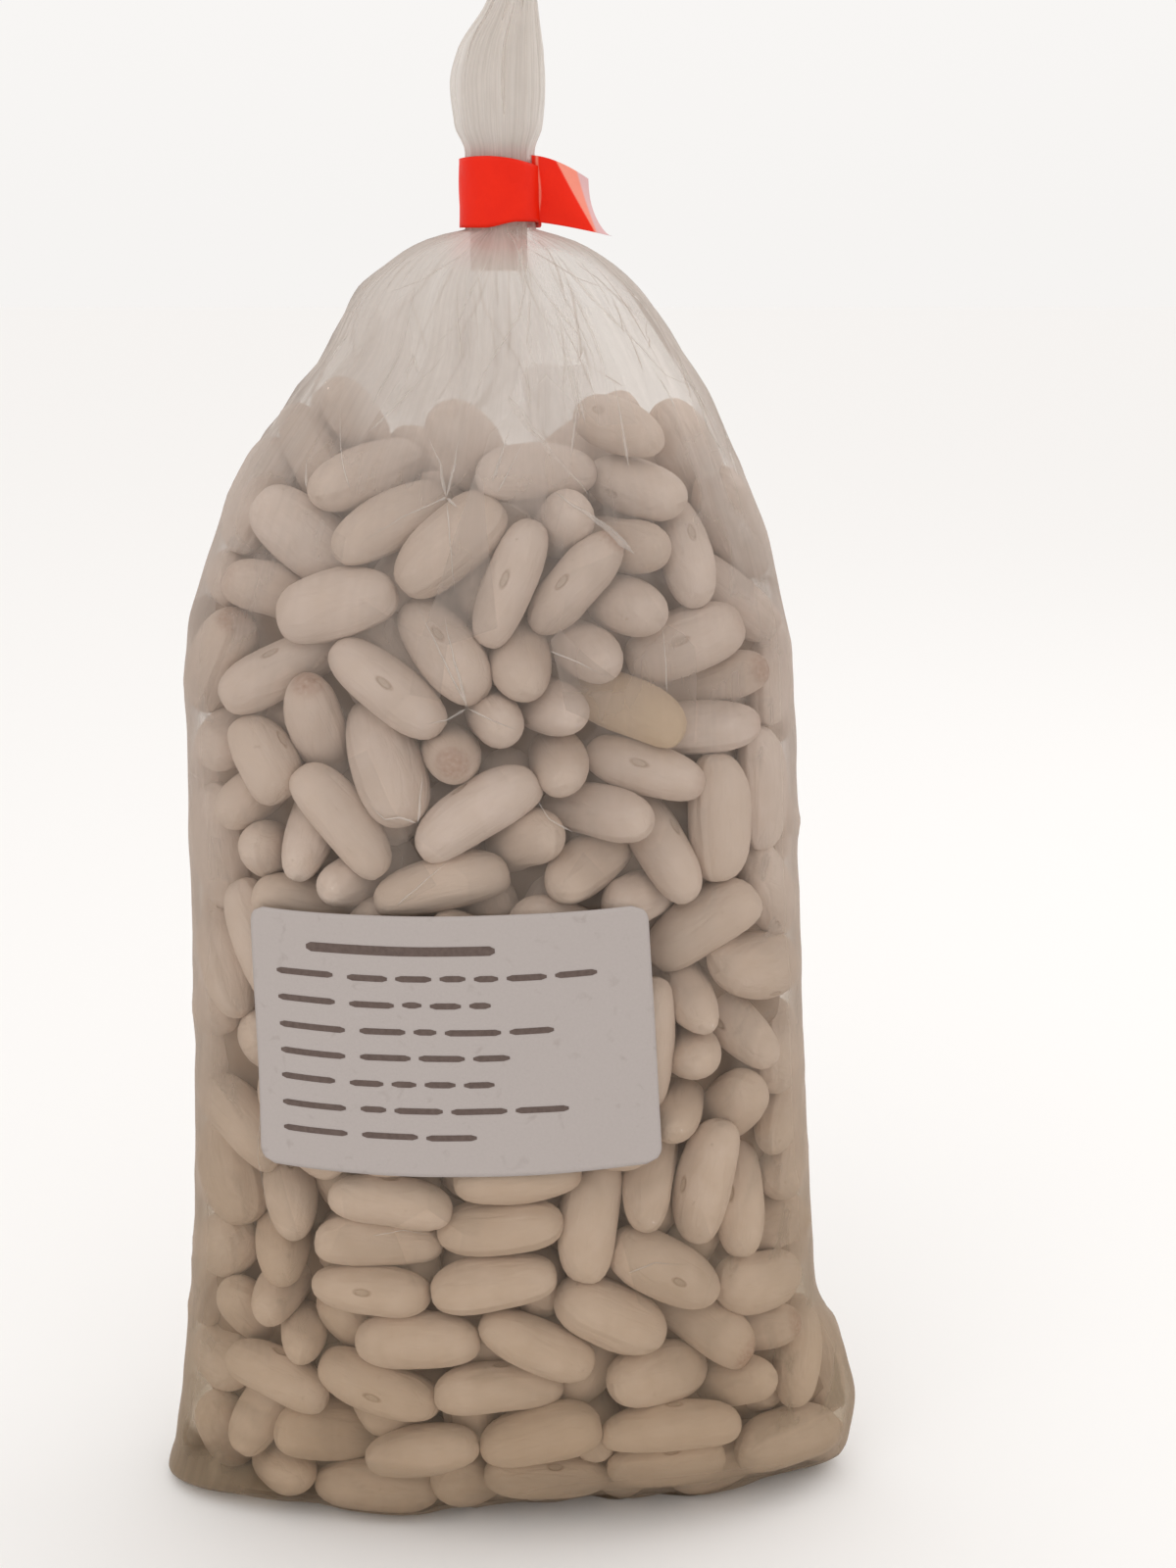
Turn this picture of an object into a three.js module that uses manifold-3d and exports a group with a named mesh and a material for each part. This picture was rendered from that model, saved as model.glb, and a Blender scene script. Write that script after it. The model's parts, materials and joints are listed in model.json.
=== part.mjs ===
// A clear film bag of dried white beans that stands on its flattened bottom. The film is
// gathered at the neck, closed by a band of red tape with a flag, and ends in a frayed tail.
// A paper label lies on the front. Millimetres, Z up, the label faces -Y, and the origin is on
// the ground below the neck, which is also the middle of the bag's width and depth.
import * as THREE from "three";
import { mergeVertices } from "three/addons/utils/BufferGeometryUtils.js";
import Module from "manifold-3d";

// Driving dimensions of the filled bag
const baseWidth = 120.4; // over the two bottom corners
const bodyWidth = 99.2; // across the beans at mid height
const bodyDepth = 58;
const beanTop = 181; // where the heap ends and only film goes on
const neckBase = 209.7; // where the tape begins
const neckWidth = 10.6;
const neckDepth = 9;
const totalHeight = 254;

// The tape band and its flag
const tapeWidth = 10.8;
const tapeThickness = 0.6;
const flagThickness = 0.9;
const flagReach = 17.2; // from the neck's middle to the flag's far corner

// The label
const labelWidth = 64.2;
const labelHeight = 42.3;
const labelCorner = 2.6;
const labelThickness = 0.3;
const labelCentreX = -8;
const labelCentreZ = 88.2;
const labelTurn = THREE.MathUtils.degToRad(1.7);

// The beans that press the film out
const beanLength = 19.5;
const beanWidth = 9.8;
const beanRelief = 2; // from the gaps between beans to their crests
const course = 0.92 * beanWidth; // height from one row of beans to the next
const filmTension = 0.8; // how far up this relief the taut label holds the film

const clearance = 0.3; // left between pieces that touch
const columns = 72; // of the film's mesh, round the bag
const seed = 20;

// A smooth curve through [position, value] pairs that never overshoots them
function curveThrough(pairs) {
  const slope = pairs.slice(1).map(([p, v], i) => (v - pairs[i][1]) / (p - pairs[i][0]));
  const tangent = pairs.map((_, i) => {
    const before = slope[i - 1];
    const after = slope[i];
    if (before === undefined || after === undefined || before * after <= 0) return 0;
    return (2 * before * after) / (before + after);
  });
  return (position) => {
    const last = pairs.length - 1;
    if (position <= pairs[0][0]) return pairs[0][1];
    if (position >= pairs[last][0]) return pairs[last][1];
    const i = pairs.findIndex(([p]) => p > position) - 1;
    const step = pairs[i + 1][0] - pairs[i][0];
    const t = (position - pairs[i][0]) / step;
    const rise = pairs[i + 1][1] - pairs[i][1];
    const bend = tangent[i] * (1 - t) - tangent[i + 1] * t;
    return pairs[i][1] + rise * t * t * (3 - 2 * t) + step * t * (1 - t) * bend;
  };
}

// Random numbers from 0 to 1 that come out the same each run
function seededRandom(start) {
  let state = start;
  return () => {
    state = (state * 1664525 + 1013904223) % 4294967296;
    return state / 4294967296;
  };
}

// How far the film stands to the left and right of the middle at each height
const base = baseWidth / 2;
const body = bodyWidth / 2;
const leftEdge = curveThrough([
  [0, 0.972 * base],
  [1.4, base],
  [6, 0.98 * base],
  [21, 0.942 * base],
  [54, 1.076 * body],
  [100, 1.045 * body],
  [137, 1.038 * body],
  [148, 1.02 * body],
  [161, 0.94 * body],
  [173, 0.83 * body],
  [185, 0.66 * body],
  [192, 0.545 * body],
  [198, 0.48 * body],
  [203, 0.394 * body],
  [208.5, 0.2 * body],
  [neckBase, neckWidth / 2],
]);
const rightEdge = curveThrough([
  [0, 0.845 * base],
  [2.5, 0.945 * base],
  [6.3, 0.978 * base],
  [13, base],
  [21, 0.97 * base],
  [35, 0.88 * base],
  [54, 1.032 * body],
  [100, 0.98 * body],
  [142, 0.935 * body],
  [155, 0.888 * body],
  [170, 0.79 * body],
  [182, 0.682 * body],
  [191, 0.578 * body],
  [200, 0.444 * body],
  [206, 0.3 * body],
  [208.5, 0.2 * body],
  [neckBase, neckWidth / 2],
]);
// Half the depth of the section at each height
const halfDepth = curveThrough([
  [0, 0.19 * bodyDepth],
  [3, 0.285 * bodyDepth],
  [6, 0.353 * bodyDepth],
  [10, 0.415 * bodyDepth],
  [16, 0.466 * bodyDepth],
  [40, 0.5 * bodyDepth],
  [105, 0.5 * bodyDepth],
  [150, 0.46 * bodyDepth],
  [beanTop, 0.345 * bodyDepth],
  [197, 0.235 * bodyDepth],
  [206, 0.15 * bodyDepth],
  [neckBase, neckDepth / 2],
]);
// How much deeper the left half of the base is than the right half
const baseLean = curveThrough([
  [0, 0.4],
  [12, 0],
]);
// 1 is an ellipse, less is blunter at the two sides, and more is sharper there
const sideSharpness = curveThrough([
  [0, 0.7],
  [6, 0.85],
  [14, 1.15],
  [30, 1.1],
  [50, 1],
]);

// The tail above the tape: a flat fan whose left edge comes in to a narrow tip
const tailBase = neckBase + tapeWidth + 2 * clearance;
const tailLeft = curveThrough([
  [tailBase, neckWidth / 2],
  [225, 7.2],
  [231, 7.9],
  [236, 6.7],
  [243, 2.1],
  [totalHeight, -1.6],
]);
const tailRight = curveThrough([
  [tailBase, neckWidth / 2],
  [225, 6.8],
  [231, 7.3],
  [243, 6.2],
  [totalHeight, 4.6],
]);
const tailHalfDepth = curveThrough([
  [tailBase, neckDepth / 2],
  [231, 4],
  [243, 2.6],
  [totalHeight, 1.1],
]);

// How deep the gathers are at each height: none inside the tape
const gatherDepth = curveThrough([
  [beanTop - 12, 0],
  [193, 1],
  [205, 1.3],
  [neckBase, 0],
  [tailBase, 0],
  [226, 1.4],
  [totalHeight, 0.5],
]);
// How far beans push the film out at each height
const reliefDepth = curveThrough([
  [1, 0],
  [7, beanRelief],
  [beanTop - 12, beanRelief],
  [beanTop + 3, 0],
]);

// Angles that share out the middle section's outline evenly, with angle 0 at the front
function evenAngles(count) {
  const fine = 4000;
  const lengths = [0];
  for (let i = 1; i <= fine; i += 1) {
    const angle = ((i - 0.5) / fine) * 2 * Math.PI;
    const step = Math.hypot(body * Math.cos(angle), (bodyDepth / 2) * Math.sin(angle));
    lengths.push(lengths[i - 1] + (step * 2 * Math.PI) / fine);
  }
  const outline = lengths[fine];
  const angles = Array.from({ length: count }, (_, k) => {
    const i = lengths.findIndex((length) => length >= (k / count) * outline);
    return (i / fine) * 2 * Math.PI;
  });
  return { angles, outline };
}
const { angles: columnAngles, outline: girth } = evenAngles(columns);

// The bag's outline at a height, as a point and the outward direction there
function smoothSection(height, angle) {
  const inTail = height >= tailBase;
  const left = inTail ? tailLeft(height) : leftEdge(height);
  const right = inTail ? tailRight(height) : rightEdge(height);
  const evenDepth = inTail ? tailHalfDepth(height) : halfDepth(height);
  const depth = evenDepth * (1 - baseLean(height) * Math.sin(angle));
  const half = (left + right) / 2;
  const front = Math.cos(angle);
  return {
    x: (right - left) / 2 + half * Math.sin(angle),
    y: -depth * Math.sign(front) * Math.abs(front) ** sideSharpness(height),
    outward: new THREE.Vector2(Math.sin(angle) / half, -front / depth).normalize(),
  };
}

// Beans against the film, in staggered rows low down and more askew higher up
function beansAgainstFilm() {
  const random = seededRandom(seed);
  const perCourse = Math.round(girth / (beanLength * 1.04));
  const found = [];
  for (let row = 0; row * course < beanTop; row += 1) {
    const askew = 0.15 + 0.75 * ((row * course) / beanTop);
    for (let k = 0; k < perCourse; k += 1) {
      const share = (k + (row % 2) / 2 + 0.25 * (random() - 0.5)) / perCourse;
      found.push({
        along: share * girth,
        up: (row + 0.7 + 0.3 * (random() - 0.5)) * course,
        turn: askew * (random() - 0.5) * 2,
        length: (beanLength / 2) * (0.9 + 0.2 * random()),
        width: (beanWidth / 2) * (0.95 + 0.25 * random()),
      });
    }
  }
  return found;
}
const beans = beansAgainstFilm();

// How far the nearest bean pushes the film out, from 0 to 1
function beanPush(along, up) {
  let push = 0;
  for (const bean of beans) {
    const over = THREE.MathUtils.euclideanModulo(along - bean.along + girth / 2, girth) - girth / 2;
    const rise = up - bean.up;
    const lengthwise = (over * Math.cos(bean.turn) + rise * Math.sin(bean.turn)) / bean.length;
    const crosswise = (rise * Math.cos(bean.turn) - over * Math.sin(bean.turn)) / bean.width;
    push = Math.max(push, 1 - lengthwise ** 2 - crosswise ** 2);
  }
  return Math.sqrt(push);
}

// 1 under the label, which holds the film smooth, falling to 0 just outside it
function underLabel(point, angle, height) {
  if (Math.cos(angle) < 0) return 0;
  const over = Math.abs(point.x - labelCentreX) - labelWidth / 2;
  const rise = Math.abs(height - labelCentreZ) - labelHeight / 2;
  return 1 - THREE.MathUtils.smoothstep(Math.max(over, rise), 0.5, 4);
}

// The film's surface with the beans and the gathers in it
function filmPoint(height, column) {
  const angle = columnAngles[column];
  const at = smoothSection(height, angle);
  const push = beanPush((column / columns) * girth, height);
  const bulge = THREE.MathUtils.lerp(push, filmTension, underLabel(at, angle, height));
  const folds = 0.3 * Math.cos(13 * angle + 0.6) + 0.2 * Math.cos(8 * angle + 2.1 + height / 30);
  const out = reliefDepth(height) * (bulge - 1) + gatherDepth(height) * (folds - 0.5);
  return [at.x + at.outward.x * out, at.y + at.outward.y * out, height];
}

// Heights of the mesh's rings: three to each row of beans, and closer where the film bends
function ringHeights() {
  const stretches = [
    [0, 9, 5],
    [9, beanTop, Math.round((beanTop - 9) / (course / 3))],
    [beanTop, neckBase - 1.6, 8],
    [neckBase - 1.6, neckBase, 1],
    [neckBase, tailBase, 2],
    [tailBase, totalHeight, 9],
  ];
  const heights = [0];
  for (const [from, to, steps] of stretches) {
    for (let i = 1; i <= steps; i += 1) heights.push(from + ((to - from) * i) / steps);
  }
  return heights;
}

// A closed skin through rings of points, with a flat end at the bottom and at the top
function closedSkin(rings) {
  const count = rings[0].length;
  const middle = (ring) => [0, 1, 2].map((k) => ring.reduce((sum, point) => sum + point[k], 0) / count);
  const points = rings.flat();
  const bottom = points.push(middle(rings[0])) - 1;
  const top = points.push(middle(rings[rings.length - 1])) - 1;
  const apart = (a, b) => Math.hypot(...points[a].map((value, k) => value - points[b][k]));
  const faces = [];
  for (let column = 0; column < count; column += 1) {
    const next = (column + 1) % count;
    const lastRing = (rings.length - 1) * count;
    faces.push([bottom, next, column], [top, lastRing + column, lastRing + next]);
    for (let start = 0; start < lastRing; start += count) {
      const [a, b, c, d] = [start + column, start + next, start + count + next, start + count + column];
      if (apart(a, c) < apart(b, d)) faces.push([a, b, c], [a, c, d]);
      else faces.push([a, b, d], [b, c, d]);
    }
  }
  return new THREE.BufferGeometry()
    .setAttribute("position", new THREE.Float32BufferAttribute(points.flat(), 3))
    .setIndex(faces.flat());
}

// The whole film bag, from the flattened bottom to the tail's tip
function bagGeometry() {
  const ringAt = (height) => columnAngles.map((_, column) => filmPoint(height, column));
  return closedSkin(ringHeights().map(ringAt));
}

// The angle at a distance along the film from the label's middle
function labelAngle(along) {
  const steps = 24;
  let angle = Math.asin((labelCentreX - smoothSection(labelCentreZ, 0).x) / body);
  for (let i = 0; i < steps; i += 1) {
    angle += along / steps / Math.hypot(body * Math.cos(angle), (bodyDepth / 2) * Math.sin(angle));
  }
  return angle;
}

// The label: a thin rounded rectangle bent round the front, just clear of the film
function labelGeometry() {
  const geometry = new THREE.BoxGeometry(2, 2, 1, 16, 8, 1);
  const position = geometry.attributes.position;
  for (let i = 0; i < position.count; i += 1) {
    const rise = (labelHeight / 2) * Math.sin((Math.PI / 2) * position.getY(i));
    const intoCorner = Math.max(0, Math.abs(rise) - (labelHeight / 2 - labelCorner));
    const shortBy = labelCorner - Math.sqrt(Math.max(0, labelCorner ** 2 - intoCorner ** 2));
    const over = position.getX(i) * (labelWidth / 2 - shortBy);
    const along = over * Math.cos(labelTurn) - rise * Math.sin(labelTurn);
    const height = labelCentreZ + over * Math.sin(labelTurn) + rise * Math.cos(labelTurn);
    const at = smoothSection(height, labelAngle(along));
    const seat = reliefDepth(height) * (filmTension - 1) + clearance;
    const out = seat + labelThickness * (position.getZ(i) + 0.5);
    position.setXYZ(i, at.x + at.outward.x * out, at.y + at.outward.y * out, height);
  }
  return geometry;
}

// Points round an oval about the neck
function ovalPoints(width, depth) {
  return new THREE.EllipseCurve(0, 0, width / 2, depth / 2, 0, 2 * Math.PI).getPoints(36);
}

// The tape: a band round the neck whose two ends are pressed together into a drooping flag
function tapeGeometry(wasm) {
  const innerWidth = neckWidth + 2 * clearance;
  const innerDepth = neckDepth + 2 * clearance;
  const walls = 2 * tapeThickness;
  const ring = new THREE.Shape(ovalPoints(innerWidth + walls, innerDepth + walls));
  ring.holes.push(new THREE.Path(ovalPoints(innerWidth, innerDepth)));
  const band = new THREE.ExtrudeGeometry(ring, { depth: tapeWidth, bevelEnabled: false });

  const root = (innerWidth + tapeThickness) / 2;
  const flag = new THREE.Shape();
  flag.moveTo(root, 0.2);
  flag.quadraticCurveTo(0.7 * flagReach, 0.2, flagReach, -1.1);
  flag.lineTo(0.85 * flagReach, 6.2);
  flag.quadraticCurveTo(0.75 * flagReach, 9.4, root, tapeWidth - 0.2);
  const plate = new THREE.ExtrudeGeometry(flag, { depth: flagThickness, bevelEnabled: false });
  plate.rotateX(Math.PI / 2);
  plate.translate(0, flagThickness / 2, 0);
  return joined(wasm, [band, plate]).translate(0, 0, neckBase + clearance);
}

// Joins closed geometries into one
function joined(wasm, geometries) {
  const solid = geometries.map((geometry) => solidOf(wasm, geometry)).reduce((a, b) => a.add(b));
  const mesh = solid.getMesh();
  return new THREE.BufferGeometry()
    .setAttribute("position", new THREE.BufferAttribute(mesh.vertProperties, 3))
    .setIndex(new THREE.BufferAttribute(mesh.triVerts, 1));
}

// A solid that can be joined, from a closed geometry
function solidOf(wasm, geometry) {
  const bare = geometry.clone();
  bare.deleteAttribute("normal");
  bare.deleteAttribute("uv");
  const merged = mergeVertices(bare);
  return new wasm.Manifold(
    new wasm.Mesh({
      numProp: 3,
      vertProperties: merged.attributes.position.array,
      triVerts: new Uint32Array(merged.index.array),
    }),
  );
}

// The finish that each piece shows
const filledFilm = new THREE.MeshStandardMaterial({ color: "#b4a195", roughness: 0.35, metalness: 0 });
const redTape = new THREE.MeshStandardMaterial({ color: "#ea3315", roughness: 0.45, metalness: 0 });
const labelPaper = new THREE.MeshStandardMaterial({ color: "#b6aba7", roughness: 0.8, metalness: 0 });

function piece(name, geometry, material) {
  const mesh = new THREE.Mesh(geometry, material);
  mesh.name = name;
  return mesh;
}

const wasm = await Module();
wasm.setup();

const bagOfBeans = new THREE.Group();
bagOfBeans.add(
  piece("film_bag", bagGeometry(), filledFilm),
  piece("neck_tape", tapeGeometry(wasm), redTape),
  piece("label", labelGeometry(), labelPaper),
);

export default bagOfBeans;
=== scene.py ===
# A clear film bag of dried white beans, taped at the neck, with a paper label on the front.
# Shapes are worked out in millimetres and turned to metres when a mesh is made.
import json
import math
from functools import partial
from itertools import product

import bpy
import numpy as np
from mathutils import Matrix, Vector
from mathutils.bvhtree import BVHTree

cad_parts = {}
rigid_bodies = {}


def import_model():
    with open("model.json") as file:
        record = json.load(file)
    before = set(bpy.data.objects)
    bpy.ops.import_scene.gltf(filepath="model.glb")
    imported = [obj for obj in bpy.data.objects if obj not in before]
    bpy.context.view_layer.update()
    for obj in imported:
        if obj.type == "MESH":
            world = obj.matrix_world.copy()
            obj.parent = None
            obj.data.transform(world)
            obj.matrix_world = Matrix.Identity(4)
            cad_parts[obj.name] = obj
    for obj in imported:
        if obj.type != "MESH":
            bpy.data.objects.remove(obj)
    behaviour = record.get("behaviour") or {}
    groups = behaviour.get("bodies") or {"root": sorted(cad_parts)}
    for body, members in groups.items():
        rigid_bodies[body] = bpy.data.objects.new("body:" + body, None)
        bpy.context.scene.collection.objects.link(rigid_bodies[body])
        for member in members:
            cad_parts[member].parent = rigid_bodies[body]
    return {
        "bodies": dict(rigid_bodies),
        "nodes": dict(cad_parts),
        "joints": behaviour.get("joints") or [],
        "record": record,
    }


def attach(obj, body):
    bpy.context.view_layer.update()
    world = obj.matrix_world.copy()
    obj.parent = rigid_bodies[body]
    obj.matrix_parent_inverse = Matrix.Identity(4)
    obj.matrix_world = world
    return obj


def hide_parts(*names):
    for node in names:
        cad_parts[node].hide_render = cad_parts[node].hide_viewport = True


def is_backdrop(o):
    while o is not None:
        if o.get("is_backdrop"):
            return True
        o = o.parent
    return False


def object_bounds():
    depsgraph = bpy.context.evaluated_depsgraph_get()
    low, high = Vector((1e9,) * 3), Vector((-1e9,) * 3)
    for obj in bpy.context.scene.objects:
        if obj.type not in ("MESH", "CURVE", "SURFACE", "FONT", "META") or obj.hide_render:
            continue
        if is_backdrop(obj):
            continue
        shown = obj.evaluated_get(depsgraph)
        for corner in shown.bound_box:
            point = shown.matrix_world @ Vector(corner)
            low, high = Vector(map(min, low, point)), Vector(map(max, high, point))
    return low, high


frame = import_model()
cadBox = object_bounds()
metre = 0.001

# the filled bag, the same measures as its solids
bag = {
    "baseWidth": 120.4,
    "bodyWidth": 99.2,
    "bodyDepth": 58,
    "beanTop": 181,
    "neckBase": 209.7,
    "neckWidth": 10.6,
    "neckDepth": 9,
    "tapeWidth": 10.8,
    "totalHeight": 254,
}
clearance = 0.3


# small helpers

def hexColour(code):
    # sRGB hex to the linear colour that shaders take
    parts = [int(code[i:i + 2], 16) / 255 for i in (1, 3, 5)]
    linear = [c / 12.92 if c <= 0.04045 else ((c + 0.055) / 1.055) ** 2.4 for c in parts]
    return (*linear, 1)


def curveThrough(pairs):
    # smooth curve through (position, value) pairs that never overshoots them
    at, value = (np.array(column, float) for column in zip(*pairs))
    slope = np.diff(value) / np.diff(at)
    tangent = np.zeros(len(at))
    same = slope[:-1] * slope[1:] > 0
    tangent[1:-1][same] = 2 * (slope[:-1] * slope[1:])[same] / (slope[:-1] + slope[1:])[same]

    def read(position):
        p = np.clip(position, at[0], at[-1])
        i = np.clip(np.searchsorted(at, p, side="right") - 1, 0, len(at) - 2)
        step = at[i + 1] - at[i]
        t = (p - at[i]) / step
        bend = tangent[i] * (1 - t) - tangent[i + 1] * t
        return value[i] + (value[i + 1] - value[i]) * t * t * (3 - 2 * t) + step * t * (1 - t) * bend

    return read


def smoothStep(low, high, value):
    t = np.clip((value - low) / (high - low), 0, 1)
    return t * t * (3 - 2 * t)


def unit(vectors):
    return vectors / np.maximum(np.linalg.norm(vectors, axis=-1, keepdims=True), 1e-12)


def meshPiece(name, points, faces, smooth=True):
    # a mesh object from points in millimetres
    data = bpy.data.meshes.new(name)
    data.from_pydata([tuple(p) for p in np.asarray(points) * metre], [], [tuple(f) for f in faces])
    data.update()
    data.polygons.foreach_set("use_smooth", [smooth] * len(data.polygons))
    piece = bpy.data.objects.new(name, data)
    bpy.context.scene.collection.objects.link(piece)
    return piece


def gridFaces(rows, columns, closed=True):
    # quads between rows of points; closed joins the last column to the first
    r, c = np.meshgrid(np.arange(rows - 1), np.arange(columns if closed else columns - 1), indexing="ij")
    row, n = r * columns, (c + 1) % columns
    return np.stack([row + c, row + n, row + columns + n, row + columns + c], -1).reshape(-1, 4)


def plateFaces(rows, columns):
    # a thin plate: a grid of points, the same grid behind it and the rim between them
    count = rows * columns
    grid = gridFaces(rows, columns, closed=False)
    edge = np.concatenate([np.arange(columns), np.arange(1, rows) * columns + columns - 1,
                           np.arange(columns - 2, -1, -1) + (rows - 1) * columns,
                           np.arange(rows - 2, 0, -1) * columns])
    after = np.roll(edge, -1)
    rim = np.stack([edge, edge + count, after + count, after], -1)
    return np.concatenate([grid, grid[:, ::-1] + count, rim])


def gridNormals(points):
    # outward directions of a grid whose columns close on themselves
    around = np.roll(points, -1, 1) - np.roll(points, 1, 1)
    upward = np.gradient(points, axis=0)
    return unit(np.cross(around, upward))


def paintPoints(piece, name, values):
    # a number, a direction or a colour for every point, read by the material
    size = np.size(values) // len(piece.data.vertices)
    kind, key = {1: ("FLOAT", "value"), 3: ("FLOAT_VECTOR", "vector"), 4: ("FLOAT_COLOR", "color")}[size]
    layers = piece.data.color_attributes if key == "color" else piece.data.attributes
    layers.new(name, kind, "POINT").data.foreach_set(key, np.asarray(values, np.float32).ravel())


def pieceTree(piece):
    # a piece's faces in millimetres, to find where rays meet them
    mesh = piece.data
    corners = np.empty(len(mesh.vertices) * 3, np.float32)
    mesh.vertices.foreach_get("co", corners)
    return BVHTree.FromPolygons((corners.reshape(-1, 3) / metre).tolist(),
                                [tuple(p.vertices) for p in mesh.polygons])


# the bag's outline at each height, from the same few measures as its solids
base = bag["baseWidth"] / 2
body = bag["bodyWidth"] / 2
neckHalf = bag["neckWidth"] / 2
neckBase = bag["neckBase"]
tailBase = neckBase + bag["tapeWidth"] + 2 * clearance
top = bag["totalHeight"]

leftEdge = curveThrough([
    (0, 0.972 * base), (1.4, base), (6, 0.98 * base), (21, 0.942 * base), (54, 1.076 * body),
    (100, 1.045 * body), (137, 1.038 * body), (148, 1.02 * body), (161, 0.94 * body),
    (173, 0.83 * body), (185, 0.66 * body), (192, 0.545 * body), (198, 0.48 * body),
    (203, 0.394 * body), (208.5, 0.2 * body), (neckBase, neckHalf),
])
rightEdge = curveThrough([
    (0, 0.845 * base), (2.5, 0.945 * base), (6.3, 0.978 * base), (13, base), (21, 0.97 * base),
    (35, 0.88 * base), (54, 1.032 * body), (100, 0.98 * body), (142, 0.935 * body),
    (155, 0.888 * body), (170, 0.79 * body), (182, 0.682 * body), (191, 0.578 * body),
    (200, 0.444 * body), (206, 0.3 * body), (208.5, 0.2 * body), (neckBase, neckHalf),
])
halfDepth = curveThrough([(height, share * bag["bodyDepth"]) for height, share in (
    (0, 0.19), (3, 0.285), (6, 0.353), (10, 0.415), (16, 0.466), (40, 0.5), (105, 0.5),
    (150, 0.46), (bag["beanTop"], 0.345), (197, 0.235), (206, 0.15),
    (neckBase, bag["neckDepth"] / 2 / bag["bodyDepth"]),
)])
baseLean = curveThrough([(0, 0.4), (12, 0)])
sideSharpness = curveThrough([(0, 0.7), (6, 0.85), (14, 1.15), (30, 1.1), (50, 1)])
tailLeft = curveThrough([(tailBase, neckHalf), (225, 7.2), (231, 7.9), (236, 6.7), (243, 2.1), (top, -1.6)])
tailRight = curveThrough([(tailBase, neckHalf), (225, 6.8), (231, 7.3), (243, 6.2), (top, 4.6)])
tailHalfDepth = curveThrough([(tailBase, bag["neckDepth"] / 2), (231, 4), (243, 2.6), (top, 1.1)])


def section(height):
    # left reach, right reach, half depth, lean and sharpness of the outline at these heights
    inTail = height >= tailBase
    left = np.where(inTail, tailLeft(height), leftEdge(height))
    right = np.where(inTail, tailRight(height), rightEdge(height))
    depth = np.where(inTail, tailHalfDepth(height), halfDepth(height))
    return left, right, depth, baseLean(height), sideSharpness(height)


def outlinePoint(height, angle):
    # a point of the outline; angle 0 is the front and a quarter turn is the right side
    left, right, depth, lean, sharp = section(height)
    across = (right - left) / 2 + (left + right) / 2 * np.sin(angle)
    front = np.cos(angle)
    back = -depth * (1 - lean * np.sin(angle)) * np.sign(front) * np.abs(front) ** sharp
    return np.stack([across, back, height + 0 * angle], -1)


def evenAngles(count):
    # angles that share out the middle section's outline evenly
    fine = np.linspace(0, 2 * math.pi, 4001)
    middle = (fine[1:] + fine[:-1]) / 2
    steps = np.hypot(body * np.cos(middle), bag["bodyDepth"] / 2 * np.sin(middle))
    length = np.concatenate([[0], np.cumsum(steps)])
    return np.interp(np.arange(count) / count * length[-1], length, fine)


# quick reading of the outline inside the packing loop
tableHeights = np.linspace(0, neckBase, 841)
outlineTable = np.stack(section(tableHeights))


def outlineShare(points):
    # 1 on the film and less inside
    x, y, z = points[..., 0], points[..., 1], np.clip(points[..., 2], 0, neckBase)
    left, right, depth, lean, sharp = (np.interp(z, tableHeights, row) for row in outlineTable)
    across = (x - (right - left) / 2) / ((left + right) / 2)
    away = np.abs(y) / (depth * (1 - lean * np.clip(across, -1, 1)))
    return np.sqrt(across ** 2 + away ** (2 / sharp))


def wallDistance(points):
    # signed distance to the film, negative inside, and the outward direction
    h = 0.2
    centre = outlineShare(points)
    slope = np.stack([
        (outlineShare(points + h * axis) - outlineShare(points - h * axis)) / (2 * h)
        for axis in np.eye(3)
    ], -1)
    steep = np.maximum(np.linalg.norm(slope, axis=-1), 1e-6)
    return (centre - 1) / steep, slope / steep[..., None]


# the photo was taken from here, and the same view is rendered

camera = {
    "aim": (13.34, 0, 122.7),   # the point in the middle of the picture
    "distance": 360,
    "elevation": 14,
    "sensor": 36,
    "lens": 51.03,              # for the picture's longer side
    "picture": (1200, 1600),
    "span": (-50, 25),          # nearer and further than the aim, where the bag's front may be
    "tries": 14,                # steps on the way to it
}
focal = camera["lens"] / camera["sensor"] * camera["picture"][1]
tilt = math.radians(camera["elevation"])
viewSide = np.array([1, 0, 0])
viewUp = np.array([0, math.sin(tilt), math.cos(tilt)])
viewAhead = np.array([0, math.cos(tilt), -math.sin(tilt)])


def onPicturePlace(across, down, depth):
    # the point that the picture shows at this place, this far ahead of the camera
    start = np.array(camera["aim"]) - camera["distance"] * viewAhead
    sideways = (across - camera["picture"][0] / 2) / focal * depth
    upwards = (camera["picture"][1] / 2 - down) / focal * depth
    return start + depth * viewAhead + sideways * viewSide + upwards * viewUp


def underFilm(across, down, inset=0):
    # the point this far inside the bag's outline that the picture shows at this place
    depth = camera["distance"] - bag["bodyDepth"] / 2
    nearest, furthest = (camera["distance"] + offset for offset in camera["span"])
    for _ in range(camera["tries"]):
        point = onPicturePlace(across, down, depth)
        gap, out = wallDistance(point)
        depth += (gap + inset) / max(-float(out @ viewAhead), 0.35) * 0.7
        depth = min(max(depth, nearest), furthest)
    return point, out, depth


# the paper label's size and place

label = {
    "width": 64.2,
    "height": 42.3,
    "corner": 2.6,
    "centre": (-8, 88.2),    # across and up
    "turn": 1.7,             # degrees
    "thickness": 0.12,
    "standOff": 0.3,         # from the bag's outline
    "grid": (90, 60),
}


def labelZone(points, spare):
    # 1 under the label, 0 away from it
    x, y, z = np.moveaxis(points, -1, 0)
    inside = np.maximum(np.abs(x - label["centre"][0]) - label["width"] / 2,
                        np.abs(z - label["centre"][1]) - label["height"] / 2)
    return (1 - smoothStep(0, spare, inside)) * (y < 0)


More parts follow.
